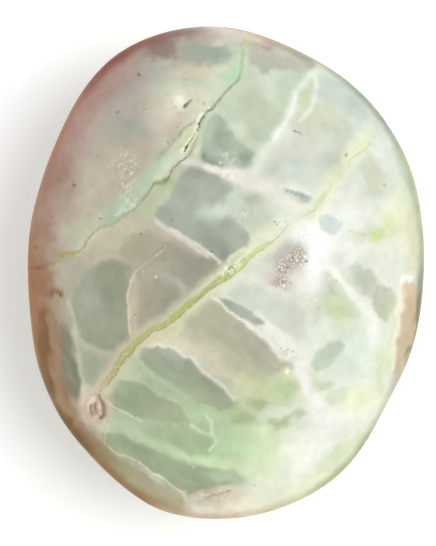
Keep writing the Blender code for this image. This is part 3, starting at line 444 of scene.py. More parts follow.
# %% The white veins, and the finer lines: colour, width, softness, strength and route
WHITE = (243, 241, 229)
VEINS = (
    ((228, 230, 212), 0.8, 0.9, 0.8, ((-5, 13.3), (-3.6, 13.2), (-2.4, 12.8), (-1.2, 12.3))),
    (WHITE, 0.7, 0.6, 0.9, ((-2.2, 12.7), (-1, 12.1), (0, 11.7), (1.2, 11.2), (3, 10.6), (5, 9.9))),
    (WHITE, 1.8, 1.6, 0.9, ((0.6, 11.8), (1.8, 11.2), (3.4, 10.6), (5.2, 9.9), (7, 9), (8.8, 7.6))),
    ((206, 195, 177), 1.1, 1, 0.45, ((-8.4, 5.4), (-6.6, 4.4), (-4.6, 3.3), (-3.2, 2.5))),
    ((229, 224, 211), 0.5, 0.6, 0.85, ((-8.5, 6.1), (-7.4, 5.4), (-6, 4.5), (-4.8, 3.7), (-3.4, 2.8),
        (-2.2, 2))),
    ((228, 222, 206), 0.14, 0.2, 0.8, ((-8.7, 6.6), (-8, 5.9), (-7.2, 5.4), (-6.4, 5.1))),
    ((236, 231, 217), 0.32, 0.3, 0.9, ((-6.6, 5.2), (-6.2, 5), (-5.2, 4.3), (-4.2, 3.7), (-3, 3.1),
        (-2.3, 2.6), (-1.4, 1.8), (-0.8, 1.2))),
    ((222, 214, 194), 0.16, 0.2, 0.9, ((-7.2, 3.2), (-8.4, 2), (-9.3, 1.3), (-10, 0.9), (-10.9, 0.1))),
    ((206, 194, 174), 0.9, 0.9, 0.7, ((-11, -1), (-11.2, -3), (-11.2, -5), (-11, -7))),
    ((228, 218, 198), 0.2, 0.2, 0.95, ((-10.9, 0.1), (-11, -0.4), (-11.5, -1.1), (-11.7, -2), (-11.7, -4),
        (-11.6, -6), (-11.4, -7.6))),
    (WHITE, 0.3, 0.35, 0.95, ((-1.6, -2.9), (-0.9, -3.5), (0, -4.4), (1, -5.1), (2, -5.8), (3, -6.5))),
    (WHITE, 0.6, 0.5, 0.95, ((2.6, -6.2), (4, -7.3), (5, -8.2), (6, -9.3), (6.8, -10), (8, -10.7),
        (8.9, -11))),
    ((232, 226, 214), 0.9, 0.9, 0.6, ((4.4, -7.4), (6, -9.1), (7.8, -10.6))),
    (WHITE, 0.35, 0.5, 0.8, ((3.5, -5.1), (4.6, -5.7), (6, -6.8), (7.4, -7.8), (8.8, -9.4))),
    ((248, 246, 238), 1.3, 1, 0.95, ((8.9, -11), (9.3, -13), (10, -14.5), (11, -16), (12, -18))),
    ((244, 247, 234), 0.7, 0.35, 0.95, ((11, 1.9), (12.1, 0.95), (13.4, -0.5), (14.6, -1.9), (15.8, -3.3))),
    ((245, 248, 236), 1, 0.5, 0.95, ((14.8, -2.2), (15.8, -3.3), (16.8, -4.5), (17.7, -5.7))),
    ((245, 248, 238), 1.3, 0.9, 0.9, ((17, -5), (17.5, -6), (17.6, -8))),
    ((205, 216, 180), 0.22, 0.3, 0.7, ((14.6, 5), (16, 4.6), (17.4, 4.55), (18.4, 4.2))),
    ((236, 243, 228), 0.9, 0.8, 0.9, ((11.6, 25.2), (10.6, 24.1), (9.6, 23), (8.5, 21.7), (8.1, 20.3),
        (7.4, 18.6), (6.5, 16.8), (5.6, 15.7), (4.6, 14.4), (3.8, 13), (3.4, 11.6))),
    ((246, 250, 240), 0.3, 0.3, 0.9, ((8.6, 21.6), (7.9, 19.6), (7.2, 18.2), (6.4, 16.8), (5.6, 15.7))),
    ((238, 244, 230), 0.5, 0.5, 0.8, ((10.8, 24), (10.9, 22.4), (10.6, 21), (10.1, 19.6), (8.8, 18.2))),
    ((142, 158, 150), 0.16, 0.2, 0.8, ((7.2, 9.85), (8.3, 9.4), (9.2, 9.1))),
    ((250, 251, 244), 0.2, 0.25, 0.9, ((6.8, 10.2), (8.2, 9.9), (10.2, 9.4))),
    ((226, 226, 176), 0.8, 0.9, 0.75, ((11.2, 24.8), (12, 25.6), (13.4, 27.5))),
    ((214, 218, 172), 0.9, 0.9, 0.7, ((9.5, 21.4), (9.4, 20.2))),
    ((238, 232, 214), 0.4, 0.4, 0.9, ((-10, -8.7), (-9, -8.9), (-8.5, -8.6), (-7, -8.8), (-6.3, -9),
        (-5.6, -9.5), (-5, -10), (-4.3, -10.1), (-3.8, -10.6), (-3.4, -11.2), (-2.8, -11.8), (-2.1, -12.2),
        (-1.6, -12.8), (-0.9, -13.3), (0, -14), (0.5, -14.7), (0.9, -15.2))),
    ((186, 190, 164), 0.3, 0.35, 0.8, ((-14.7, -18.6), (-14.6, -19.5), (-14.6, -20.6))),
    ((198, 202, 172), 0.2, 0.25, 0.9, ((-14.2, -20.9), (-12.8, -21.8), (-11.5, -22.3), (-10.4, -22.9))),
    ((218, 220, 192), 0.2, 0.25, 0.9, ((-10.4, -22.9), (-9.3, -23.6), (-8.5, -24.3), (-7.4, -24.9),
        (-6.3, -25.7), (-5.3, -26.5))),
    ((206, 204, 176), 0.3, 0.35, 0.85, ((-5.3, -26.5), (-4.9, -27.5), (-4.6, -30))),
    ((212, 214, 190), 0.15, 0.2, 0.9, ((-14.2, -15.4), (-13.5, -15.9), (-12.5, -16.6), (-11.3, -17.3),
        (-10.2, -18))),
    ((190, 204, 174), 0.3, 0.5, 0.8, ((-12.6, -12.6), (-10.5, -12.8), (-9, -13.8), (-7.5, -14.7),
        (-6.3, -15.3), (-5.2, -15.8), (-4.8, -17), (-4.2, -17.9))),
    ((192, 204, 176), 0.5, 0.7, 0.6, ((-10.4, -11.2), (-8.6, -12.4), (-6.4, -13.6), (-4.4, -15))),
    ((214, 230, 198), 0.26, 0.3, 0.85, ((-4.3, -18.3), (-3, -19), (-1.7, -19.5), (-1.1, -20.2))),
    ((224, 240, 210), 0.22, 0.25, 0.9, ((-1.1, -20.2), (-1.5, -20.9), (-2.1, -21.4))),
    ((218, 234, 202), 0.34, 0.35, 0.85, ((-2.2, -17.3), (-1.7, -18), (-1.7, -19.4))),
    ((190, 194, 172), 0.4, 0.5, 0.8, ((-18.9, -3.4), (-18.3, -5.6), (-18, -7.6), (-17.8, -9.5),
        (-17.5, -11.5), (-17.1, -13.8))),
    ((186, 194, 170), 0.5, 0.7, 0.8, ((-18.2, -7.2), (-17, -8.5), (-15.5, -9.3), (-14, -9.8),
        (-12.8, -10.2))),
    ((196, 190, 170), 0.5, 0.8, 0.6, ((-16.4, 1.1), (-15, 1.8), (-13.4, 1.9), (-12.2, 1.4))),
    ((168, 178, 146), 0.34, 0.4, 0.75, ((-8.2, 13.7), (-7.6, 14.3), (-7, 14.9), (-6.4, 15.5), (-6, 16))),
    ((214, 218, 184), 0.2, 0.3, 0.7, ((-6.1, 15.5), (-5.8, 15.9), (-5.5, 16.2))),
    ((152, 168, 134), 0.26, 0.3, 0.8, ((-5.6, 16.5), (-5.2, 17), (-4.7, 17.5), (-4.2, 17.9), (-3.8, 18.2))),
    ((168, 188, 146), 0.5, 0.5, 0.7, ((-6.4, 16.3), (-6.1, 15.9))),
    ((152, 170, 134), 0.35, 0.4, 0.7, ((-5.5, 16.5), (-5.3, 16.8))),
    ((172, 188, 146), 0.9, 0.7, 0.6, ((-8.4, 10.7), (-7.7, 10.6), (-7.3, 10.9))),
    ((148, 164, 118), 0.4, 0.45, 0.6, ((-7.75, 10.65), (-7.2, 10.85))),
    ((245, 244, 226), 0.4, 0.3, 0.85, ((-5.75, 20.9), (-5.3, 20.45), (-5.05, 20.15))),
    ((122, 118, 94), 0.28, 0.2, 0.85, ((-4.9, 19.95), (-4.5, 20.25), (-4.15, 20.6))),
    ((104, 98, 74), 0.24, 0.2, 0.8, ((-4.9, 19.95), (-4.7, 20.1))),
    ((188, 178, 162), 0.16, 0.25, 0.7, ((-6.6, 20.4), (-6, 19.8), (-5.5, 19.1))),
    ((150, 160, 140), 0.34, 0.4, 0.8, ((-2.9, 14.2), (-2.6, 13.6), (-2, 13.25), (-1.2, 13), (-0.4, 12.9))),
    ((252, 252, 238), 0.36, 0.3, 0.9, ((-2.95, 19), (-3.25, 18.5), (-3.5, 18.1))),
    ((120, 128, 110), 0.2, 0.2, 0.8, ((8.1, 16.95), (8.6, 16.75), (9.15, 16.5))),
    ((170, 155, 138), 0.22, 0.3, 0.75, ((-2.4, -27.1), (-1.2, -26.8), (-0.2, -26.4), (0.6, -26.2))),
    ((176, 164, 146), 0.18, 0.3, 0.6, ((-3.4, -27.6), (-2.6, -27.4), (-1.6, -27.5))),
    ((214, 197, 174), 0.6, 0.6, 0.7, ((-5, -26.6), (-4.7, -27.8), (-4.4, -29))),
    ((244, 244, 214), 0.24, 0.25, 0.9, ((-3.65, 17.5), (-3.75, 17), (-3.55, 16.7))),
    ((240, 240, 208), 0.22, 0.25, 0.85, ((-4, 16.4), (-4.4, 16), (-4.8, 15.5))),
    ((250, 250, 222), 0.34, 0.25, 0.95, ((-5.2, 14.9), (-5.3, 14.5))),
    ((226, 228, 196), 0.16, 0.25, 0.7, ((-5.1, 15.6), (-5.15, 16.4), (-4.9, 17))),
    ((222, 235, 214), 0.2, 0.2, 0.7, ((-13.4, 6.9), (-12.9, 7.05), (-12.5, 7.6))),
    ((218, 232, 210), 0.18, 0.2, 0.65, ((-12.2, 7.5), (-11.8, 7.3), (-11.3, 7.55))),
    ((206, 222, 194), 0.22, 0.25, 0.7, ((-9, 10.6), (-8.4, 11.2), (-7.9, 11.4))),
    ((240, 248, 214), 0.4, 0.4, 0.8, ((0.2, 1.4), (1.2, 2.3), (2.2, 3))),
)

# %% Painted reflection and shade in lines along the rims, written as the veins are
RIM_LINES = (
    ((122, 91, 62), 1.5, 0.9, 0.95, ((-21.7, -5), (-21.6, -6.6), (-21.9, -9), (-21.8, -11.4),
        (-21.2, -13.4))),
    ((153, 126, 102), 1.1, 0.9, 0.9, ((-20.9, -5.2), (-20.8, -7.4), (-20.5, -10), (-20.3, -12.6),
        (-20, -15.4), (-18.8, -17))),
    ((106, 78, 62), 0.6, 0.5, 0.9, ((-20.8, -2.4), (-20.2, -2.3))),
    ((136, 104, 86), 0.9, 0.9, 0.7, ((-22.6, -1.8), (-21, -2.4))),
    ((162, 122, 92), 0.5, 0.6, 0.7, ((-17.2, -18), (-17.8, -18.3), (-18.6, -18.8))),
    ((112, 82, 48), 1.2, 0.9, 0.85, ((-18.9, -18.6), (-18, -20), (-16.9, -21.2))),
    ((222, 214, 184), 1.1, 1.0, 0.55, ((22.5, 6.4), (22.6, 3), (22.3, 0.4))),
    ((216, 224, 186), 0.9, 0.9, 0.6, ((20.4, -3), (20.1, -6), (19.7, -9), (19.3, -11.6))),
    ((242, 236, 214), 0.9, 0.6, 0.85, ((21.3, -1.2), (21, -4), (20.7, -7), (20.3, -11))),
    ((138, 130, 96), 0.9, 0.9, 0.9, ((23.6, -2.4), (23.4, -6), (22.8, -9), (22, -11.6))),
    ((214, 189, 157), 1.5, 0.7, 0.95, ((22, -1.8), (22.1, -3.6))),
    ((201, 182, 152), 1.8, 0.8, 0.95, ((22.1, -3.6), (22, -6), (21.5, -8.8), (20.9, -11.6))),
    ((250, 250, 244), 0.5, 0.4, 0.85, ((21.2, -0.7), (22.2, -0.6))),
)

# %% The crystal pit, the gashes, the pocks and the painted glints
CRYSTAL_PIT = (-15.4, -16.5)
CRYSTAL_PIT_RADIUS = 1.9
CRYSTALS = (  # x, y, half length, half width, turn, height and colour
    (-16.05, -15.35, 0.8, 0.36, 48, 0.26, (240, 227, 196)),
    (-15.22, -16.05, 0.55, 0.34, 98, 0.36, (242, 212, 196)),
    (-15.1, -16.9, 0.5, 0.28, 105, 0.24, (214, 190, 170)),
    (-16.5, -16.3, 0.65, 0.2, 86, 0.16, (228, 212, 184)),
    (-16.02, -16.4, 0.55, 0.15, 90, 0.16, (216, 200, 174)),
    (-15.6, -17.45, 0.6, 0.36, 25, 0.2, (210, 192, 168)),
    (-14.7, -15, 0.5, 0.28, 120, 0.14, (206, 186, 168)),
)
CRYSTAL_GASHES = (
    ((-15.2, -14.9), (-14.95, -15.4), (-14.7, -15.8), (-14.6, -16.2), (-14.65, -16.7), (-14.6, -17.1),
        (-15, -17.5)),
    ((-15.72, -15.7), (-15.8, -16.3), (-15.75, -16.9)), ((-16.28, -16), (-16.25, -16.6), (-16.1, -17.1)),
)
GASHES = (  # the half width in mm, and the route
    (0.07, ((-2.7, 18.8), (-2.9, 18.45), (-3.1, 18.1), (-3.25, 17.85))),
    (0.1, ((-3.25, 17.88), (-3.27, 17.8))), (0.07, ((-3.2, 17.48), (-3.22, 17.4))),
    (0.08, ((-3.42, 17.15), (-3.48, 17.07))), (0.03, ((-3.6, 16.8), (-4.05, 16.05), (-4.5, 15.4))),
    (0.07, ((-4.55, 15.3), (-4.7, 15.05), (-4.82, 14.8), (-4.95, 14.5))),
    (0.1, ((-4.68, 15.1), (-4.76, 14.92))),
)
POCKS = (  # x, y, radius and how dark
    (-10.5, 23.75, 0.28, 0.75), (-13, 19.25, 0.26, 0.5), (-9.8, 19.5, 0.2, 0.4), (-18.25, 10.5, 0.28, 0.75),
    (-15.95, 10.4, 0.22, 0.25), (-15.1, 6.45, 0.18, 0.8), (-14.85, 6.4, 0.14, 0.7), (-10.22, 4.65, 0.16, 1),
    (-6.5, 6.2, 0.18, 0.7), (-1.7, 2.5, 0.17, 0.8), (-6.95, 15.65, 0.15, 0.9), (-6.95, 15.45, 0.12, 0.7),
    (-5.75, 17.35, 0.2, 0.45), (-2.65, 20.25, 0.22, 0.5), (-3.3, 20.6, 0.2, 0.3), (-0.75, 18.6, 0.2, 0.25),
    (-5, 23.1, 0.3, 0.2), (-15.4, 14, 0.2, 0.3), (8.25, 16.9, 0.2, 0.5), (9.7, 1.35, 0.16, 0.9),
    (7.33, 0.6, 0.15, 0.8), (14.4, 14.05, 0.26, 0.75), (5.85, 6.05, 0.2, 0.7), (6.1, 5.75, 0.16, 0.6),
    (7.1, 6.1, 0.13, 0.5), (-10.9, -5, 0.14, 0.9), (-7.5, 1.5, 0.14, 0.4), (-10.9, -17.2, 0.14, 0.6),
    (6.6, -9.1, 0.14, 0.6), (7.4, -9.3, 0.2, 0.5), (8, -9.45, 0.18, 0.45), (13.2, -0.9, 0.15, 0.8),
    (9.9, -8.2, 0.13, 0.4), (3.5, -25.6, 0.22, 0.4), (0.2, -26.3, 0.22, 0.45), (-0.4, -26.35, 0.2, 0.35),
    (-22.9, 3, 0.3, 0.4), (19, 10.5, 0.28, 0.5), (-12.1, 15.2, 0.2, 0.2), (-2.6, 13.9, 0.2, 0.35),
    (7.95, 1.8, 0.16, 0.7), (8.8, 1.6, 0.16, 0.8), (9.55, 1.35, 0.17, 0.8), (7.3, 0.7, 0.16, 0.7),
    (7.1, 0.05, 0.18, 0.7), (9.25, 1, 0.13, 0.5), (6.2, -0.9, 0.14, 0.4),
)
PAINTED_GLINTS = (  # x, y and radius of painted glints, small white specks
    (-8.4, -0.5, 0.17), (-10, 0.2, 0.14), (-6, -15.5, 0.15), (0.3, -9.3, 0.2), (5.8, -11.2, 0.13),
    (7.3, -11.9, 0.14), (7.2, -12.4, 0.12), (-12.05, 14.05, 0.15), (-12.4, 13.1, 0.1), (-0.7, 13.25, 0.12),
    (-14.9, 6.75, 0.15), (9.4, 1.9, 0.2), (8.9, 0.9, 0.14), (5.6, -0.9, 0.14), (6.9, -1.6, 0.16),
    (-2.15, 19.8, 0.14), (-4.3, 16, 0.12), (-3.9, -23.4, 0.12),
)
SUGARY = (  # patches of broken crystal: middle, half length, half width, turn, strength
    ((8.4, 1.8), 1.6, 1.0, 20, 1.0), ((6.9, 0.9), 1.3, 1.0, 50, 0.9), ((6.7, -1.2), 1.5, 0.8, -24, 0.8),
)
CHALKY = (  # patches with pale raised threads
    ((-12.0, 12.2), 2.6, 1.7, 80, 0.75), ((-11.6, 9.3), 2.2, 1.4, 120, 0.65),
    ((0.3, 13.8), 1.5, 0.9, 0, 0.6), ((-4.4, 16.2), 2.8, 0.8, 58, 0.3), ((2.2, 6.8), 1.6, 1.0, 20, 0.5),
    ((9.6, 4.3), 1.0, 1.3, 0, 0.6), ((9.8, -3.4), 2.2, 1.1, -30, 0.35), ((0.6, 0.5), 1.8, 0.8, 38, 1.0),
    ((0.2, 11.5), 1.6, 0.5, -20, 0.6), ((-1.4, -26.8), 2.6, 0.8, 0, 0.6),
    ((7.6, -10.2), 1.8, 0.7, -40, 0.7),
)
print(len(GROUNDS) + len(WINDOWS), "areas,", len(VEINS), "lines,", len(POCKS), "pocks")

# %% [markdown]
# ## Distances
# Everything below asks how far a point of the skin is from a route, or whether it lies inside
# an outline. The points are first shifted a little by smooth noise, so that a straight stretch
# between two chosen points comes out as uneven as a vein in stone.

# %% How far a place is from a route, an outline or an oval
def distance_to(route, places):
    nearest = np.full(len(places), np.inf)
    for start, end in zip(np.array(route, float), np.array(route[1:], float)):
        run = end - start
        share = np.clip((places - start) @ run / (run @ run), 0, 1)
        away = places - start - share[:, None] * run
        nearest = np.minimum(nearest, np.hypot(away[:, 0], away[:, 1]))
    return nearest


def beside(route, places):
    """How far a place is from a route, as a share of its half width, negative on its right."""
    nearest = np.full(len(places), np.inf)
    offset = np.full(len(places), 6.0)
    for start, end in zip(np.array(route), np.array(route[1:])):
        run = (end - start)[:2]
        share = np.clip((places - start[:2]) @ run / (run @ run), 0, 1)
        away = places - start[:2] - share[:, None] * run
        distance = np.hypot(away[:, 0], away[:, 1])
        side = np.where(run[0] * away[:, 1] > run[1] * away[:, 0], 1, -1)
        closer = distance < nearest
        half_width = start[2] + share * (end[2] - start[2])
        offset[closer] = (side * distance / half_width)[closer]
        nearest[closer] = distance[closer]
    return np.clip(offset, -6, 6), nearest


def depth_inside(corners, places):
    """How far inside an outline each place is, in mm, negative outside."""
    closed = tuple(corners) + (corners[0],)
    x, y = places[:, 0], places[:, 1]
    within = np.zeros(len(places), bool)
    for (ax, ay), (bx, by) in zip(closed, closed[1:]):
        if ay != by:
            within ^= ((ay > y) != (by > y)) & (x < (bx - ax) * (y - ay) / (by - ay) + ax)
    return distance_to(closed, places) * np.where(within, 1, -1)


def oval_share(centre, half_length, half_width, turn, places):
    """The distance from an oval's middle, as a share of the oval."""
    cos_turn, sin_turn = math.cos(math.radians(turn)), math.sin(math.radians(turn))
    off_x, off_y = places[:, 0] - centre[0], places[:, 1] - centre[1]
    along = (off_x * cos_turn + off_y * sin_turn) / half_length
    aside = (off_y * cos_turn - off_x * sin_turn) / half_width
    return np.hypot(along, aside)


def ease(value, start, end):
    """0 before start, 1 after end, and a smooth step between them."""
    share = np.clip((value - start) / (end - start), 0, 1)
    return share * share * (3 - 2 * share)


def along_x(stops, x):
    """A number or a colour that is given at some values of x, at every x."""
    at = [stop[0] for stop in stops]
    values = np.array([stop[1] for stop in stops], float)
    if values.ndim == 1:
        return np.interp(x, at, values)
    return np.stack([np.interp(x, at, channel) for channel in values.T], axis=1)


def patches(areas, places):
    """A mask of soft ovals."""
    mask = np.zeros(len(places))
    for centre, half_length, half_width, turn, strength in areas:
        share = oval_share(centre, half_length, half_width, turn, places)
        mask = np.maximum(mask, strength * (1 - ease(share, 0.5, 1.15)))
    return mask


# %% Smooth noise over the points of the skin
def waves(points, wave_length, seed=0.0):
    """Noise from about -1 to 1, made of waves of one length in mm."""
    shift = Vector((seed, 2.7 * seed, -1.3 * seed))
    scale = 1 / wave_length
    return np.array([noise.noise(Vector(point) * scale + shift) for point in points])


def points_of(piece):
    """The piece's vertices in mm from the middle of the outline."""
    flat = np.empty(3 * len(piece.data.vertices))
    piece.data.vertices.foreach_get("co", flat)
    return flat.reshape(-1, 3) / MM


def normals_of(piece):
    flat = np.empty(3 * len(piece.data.vertices))
    piece.data.vertices.foreach_get("normal", flat)
    return flat.reshape(-1, 3)


print("a wave of noise at the top:", waves([(0.0, 0.0, 27.0)], 4.0))

# %% [markdown]
# ## Finer triangles where the marks are
# A vein is half a millimetre wide, and the pits are smaller. The triangles near the marks are
# chosen by their place and cut into four in edit mode, those at the seams once more, and those
# in the pits a third time. Cutting the whole skin as fine would take millions of triangles.

# %% Cut the triangles that lie near a mark
CRISP = 0.7  # windows with a softer edge than this need no finer triangles
ROUTES = [line[4] for line in VEINS]
OUTLINES = [window[3] + (window[3][0],) for window in WINDOWS if window[1] < CRISP]


def near_lines(places):
    near = near_seams(places)
    for route in ROUTES + OUTLINES:
        near |= distance_to(route, places) < 0.6
    return near


def near_seams(places):
    near = near_pits(places, 0.25)
    near |= beside(SEAM, places)[1] < 0.85
    near |= beside(FISSURE, places)[1] < 0.5
    near |= patches(SUGARY + CHALKY, places) > 0.3
    return near


def near_pits(places, reach=0.1):
    near = oval_share(CRYSTAL_PIT, 1.8 + reach, 1.8 + reach, 0, places) < 1
    for pock_x, pock_y, radius, _ in POCKS:
        near |= np.hypot(places[:, 0] - pock_x, places[:, 1] - pock_y) < radius + reach
    for half_width, gash in GASHES:
        near |= distance_to(gash, places) < half_width + reach
    return near


def cut_faces(piece, near):
    """Cuts each triangle of the upper side for which near says yes into four."""
    mesh = piece.data
    centres = np.empty(3 * len(mesh.polygons))
    mesh.polygons.foreach_get("center", centres)
    centres = centres.reshape(-1, 3) / MM
    chosen = (centres[:, 2] > middle[2] / MM - 1) & near(centres[:, :2])
    make_active(piece)
    bpy.ops.object.mode_set(mode="EDIT")
    bpy.context.tool_settings.mesh_select_mode = (False, False, True)
    bpy.ops.mesh.select_all(action="DESELECT")
    bpy.ops.object.mode_set(mode="OBJECT")
    mesh.polygons.foreach_set("select", chosen)
    bpy.ops.object.mode_set(mode="EDIT")
    bpy.ops.mesh.subdivide(number_cuts=1, ngon=False)
    bpy.ops.mesh.select_all(action="SELECT")
    bpy.ops.mesh.quads_convert_to_tris()
    bpy.ops.object.mode_set(mode="OBJECT")
    print("cut", chosen.sum(), "triangles, now", len(mesh.polygons))


cut_faces(stone, near_lines)
apply_modifier(stone, "SMOOTH", factor=0.5, iterations=3)
cut_faces(stone, near_seams)
cut_faces(stone, near_pits)

# %% [markdown]
# ## Carving
# Tumbling leaves the hard crystal proud and wears the seams, so they lie a fifth of a
# millimetre deep. The open gashes, the pocks and the crystal pit are deeper. Each of them is
# carved by moving the points of the skin inwards along their normals, as a sculpting brush
# does, because a modifier can't follow a route.

# %% Carve the face
def dish(distance, radius):
    share = np.minimum(distance / radius, 1)
    return (1 - share * share) ** 2


def carving(places, fine):
    """How deep the skin is carved at each place, in mm."""
    depth = 0.18 * dish(beside(SEAM, places)[1], 0.7) * (1 + 0.6 * fine)
    depth += 0.2 * dish(beside(FISSURE, places)[1], 0.4) * (1 + 0.6 * fine)
    for half_width, gash in GASHES:
        depth += 3.2 * half_width * dish(distance_to(gash, places), 2.2 * half_width) * (1 + 0.3 * fine)
    pit = oval_share(CRYSTAL_PIT, CRYSTAL_PIT_RADIUS, CRYSTAL_PIT_RADIUS, 0, places)
    depth += (0.22 + 0.1 * fine) * dish(pit, 1.0)
    for gash in CRYSTAL_GASHES:
        depth += 0.16 * dish(distance_to(gash, places), 0.3)
    for x, y, half_length, half_width, turn, height, _ in CRYSTALS:
        share = oval_share((x, y), half_length, half_width, turn, places)
        depth -= 0.8 * height * (1 - ease(share, 0.4, 1.2)) * (1 + 0.3 * fine)
    for pock_x, pock_y, radius, dark in POCKS:
        away = np.hypot(places[:, 0] - pock_x, places[:, 1] - pock_y)
        depth += 0.9 * dark * radius * dish(away, 1.2 * radius)
    return depth


def sugar_grain(points):
    """Broken crystal: small hollows between grains."""
    return np.clip(waves(points, 0.34, 5.0) + 0.6 * waves(points, 0.2, 9.0), -0.6, 1)


def chalk_thread(points):
    """Thin raised threads, where slow noise changes its sign."""
    return 1 - ease(np.abs(waves(points, 0.7, 21.0) + 0.3 * waves(points, 0.35, 22.0)), 0.02, 0.14)


points, normals = points_of(stone), normals_of(stone)
uneven = np.stack([waves(points, 1.3, 1.0), waves(points, 1.3, 2.0)], axis=1)
fine = waves(points, 0.5, 3.0)
carved = carving(points[:, :2] + 0.12 * uneven, fine)
carved += 0.2 * sugar_grain(points) * patches(SUGARY, points[:, :2])
carved -= 0.06 * chalk_thread(points) * patches(CHALKY, points[:, :2])
carved *= ease(normals[:, 2], 0.12, 0.3)
stone.data.vertices.foreach_set("co", ((points - normals * carved[:, None]) * MM).ravel())
stone.data.update()
print("deepest carving", round(float(carved.max()), 2), "mm")

# %% [markdown]
# ## Laying the marks on the skin
# Each point of the skin now gets its colours and masks as attributes, which the material
# reads. Marks are laid over each other in the order in which one sees them: the milky ground
# with its washes, the clear windows with the milk in them, then the veins. The seam and the
# fissure are flat sheets that go right through the stone, so they are laid on its underside
# too, and the material draws the threads in them.

# %% Colours and masks
def linear(colour):
    """A colour from the screen as the linear values that a material uses."""
    share = np.array(colour, float) / 255
    return np.where(share < 0.04045, share / 12.92, ((share + 0.055) / 1.055) ** 2.4)


def lay_over(colours, tints, mask):
    """Lays one colour, or a colour for each point, over others where the mask says so."""
    return colours + (tints - colours) * mask[:, None]


def wash_mask(wash, places):
    _, strength, centre, half_length, half_width, turn = wash
    share = oval_share(centre, half_length, half_width, turn, places)
    return strength * np.exp(-np.minimum(share, 4) ** 2.6 * 0.7)


def area_mask(area, places, growth=0.0):
    _, softness, strength, corners = area
    return strength * ease(depth_inside(corners, places) + growth, -softness / 2, softness / 2)


def line_mask(line, places, width_noise):
    _, width, softness, strength, route = line
    half_width = width / 2 * (1 + 0.35 * width_noise)
    away = distance_to(route, places)
    return strength * (1 - ease(away, half_width - softness / 2, half_width + softness / 2))


# %% The places that the marks are laid on
points, normals = points_of(stone), normals_of(stone)
slow = np.stack([waves(points, 1.6, 11.0), waves(points, 1.6, 12.0)], axis=1)
quick = np.stack([waves(points, 0.6, 13.0), waves(points, 0.6, 14.0)], axis=1)
finest = np.stack([waves(points, 0.27, 18.0), waves(points, 0.27, 19.0)], axis=1)
places = points[:, :2] + 0.2 * slow + 0.09 * quick + 0.06 * finest
width_noise = waves(points, 1.1, 15.0)
patchy = waves(points, 2.6, 16.0)
warm = waves(points, 3.3, 17.0)
drift = places + 0.5 * np.stack([patchy, width_noise], axis=1) + 0.25 * slow
face = ease(normals[:, 2], 0.18, 0.42)

# %% The ground with its washes
colours = np.tile(linear(MATRIX), (len(points), 1))
for ground in GROUNDS:
    colours = lay_over(colours, linear(ground[0]), area_mask(ground, drift))
for wash in WASHES:
    colours = lay_over(colours, linear(wash[0]), wash_mask(wash, drift))
ground_colours = colours.copy()

# %% The windows, with the milk and shade in them
WINDOW_GROWTH = 0.3  # crisp windows reach under the veins that part them
mottle = 1 - 0.16 * ease(waves(points, 1.9, 23.0), -0.1, 0.5)
shades = 1 + 0.06 * patchy[:, None] + 0.035 * warm[:, None] * np.array([1.0, 0.1, -1.0])
clear = np.zeros(len(points))
for window in WINDOWS:
    crisp = window[1] < CRISP
    mask = area_mask(window, places if crisp else drift, WINDOW_GROWTH if crisp else 0.0) * mottle
    colours = lay_over(colours, linear(window[0]) * shades, mask)
    clear = np.maximum(clear, mask)
for veil in VEILS:
    colours = lay_over(colours, linear(veil[0]), wash_mask(veil, drift))
print("windows cover", round(float((clear[face > 0.9] > 0.5).mean()), 2), "of the face")

# %% The veins, the halo of the seam, and the crystal pit
lines = np.zeros(len(points))
for line in VEINS:
    mask = line_mask(line, places, width_noise)
    colours = lay_over(colours, linear(line[0]), mask)
    lines = np.maximum(lines, mask)
pit = oval_share(CRYSTAL_PIT, CRYSTAL_PIT_RADIUS, CRYSTAL_PIT_RADIUS, 0, places)
colours = lay_over(colours, linear((205, 188, 168)), 0.85 * (1 - ease(pit, 0.8, 1.2)))
colours = lay_over(colours, linear((196, 175, 154)), 0.85 * (1 - ease(pit, 0.5, 0.9)))
for x, y, half_length, half_width, turn, height, tint in CRYSTALS:
    share = oval_share((x, y), half_length, half_width, turn, places)
    colours = lay_over(colours, linear(tint), 0.85 * (1 - ease(share, 0.4, 1.25)))
# The crevices of the pit and the crescent along its right wall are darkened: painted shade.
for gash, dark, reach in zip(CRYSTAL_GASHES, (0.75, 0.5, 0.5), (0.36, 0.18, 0.16)):
    mask = dark * (1 - ease(distance_to(gash, places), 0.0, reach))
    colours = lay_over(colours, linear((142, 115, 96)), mask * (0.85 + 0.4 * width_noise))
print("veins lie on", int((lines > 0.5).sum()), "points")

# %% The seam and the fissure go on down the flanks, a little aslant
SLANT = 0.25
below = np.maximum(middle[2] / MM - points[:, 2], 0)
sheet_places = places + SLANT * below[:, None] * np.array([0.6, -0.8])
sheets = {}
for name, route, tints, strengths in (
    ("seam", SEAM, SEAM_TINTS, SEAM_STRENGTHS),
    ("fissure", FISSURE, FISSURE_TINTS, FISSURE_STRENGTHS),
):
    offset, distance = beside(route, sheet_places)
    x = sheet_places[:, 0]
    sheets[name] = offset, linear(along_x(tints, x)), along_x(strengths, x), distance
halo = 0.75 * (1 - ease(sheets["seam"][3], 0.6, 1.8 + 0.4 * width_noise)) * sheets["seam"][2]
colours = lay_over(colours, linear(along_x((
    (-15, (205, 190, 166)), (-8, (212, 208, 178)), (2, (232, 236, 204)), (16, (240, 244, 214)),
), places[:, 0])), halo * face)
print("halo on", int((halo > 0.3).sum()), "points")
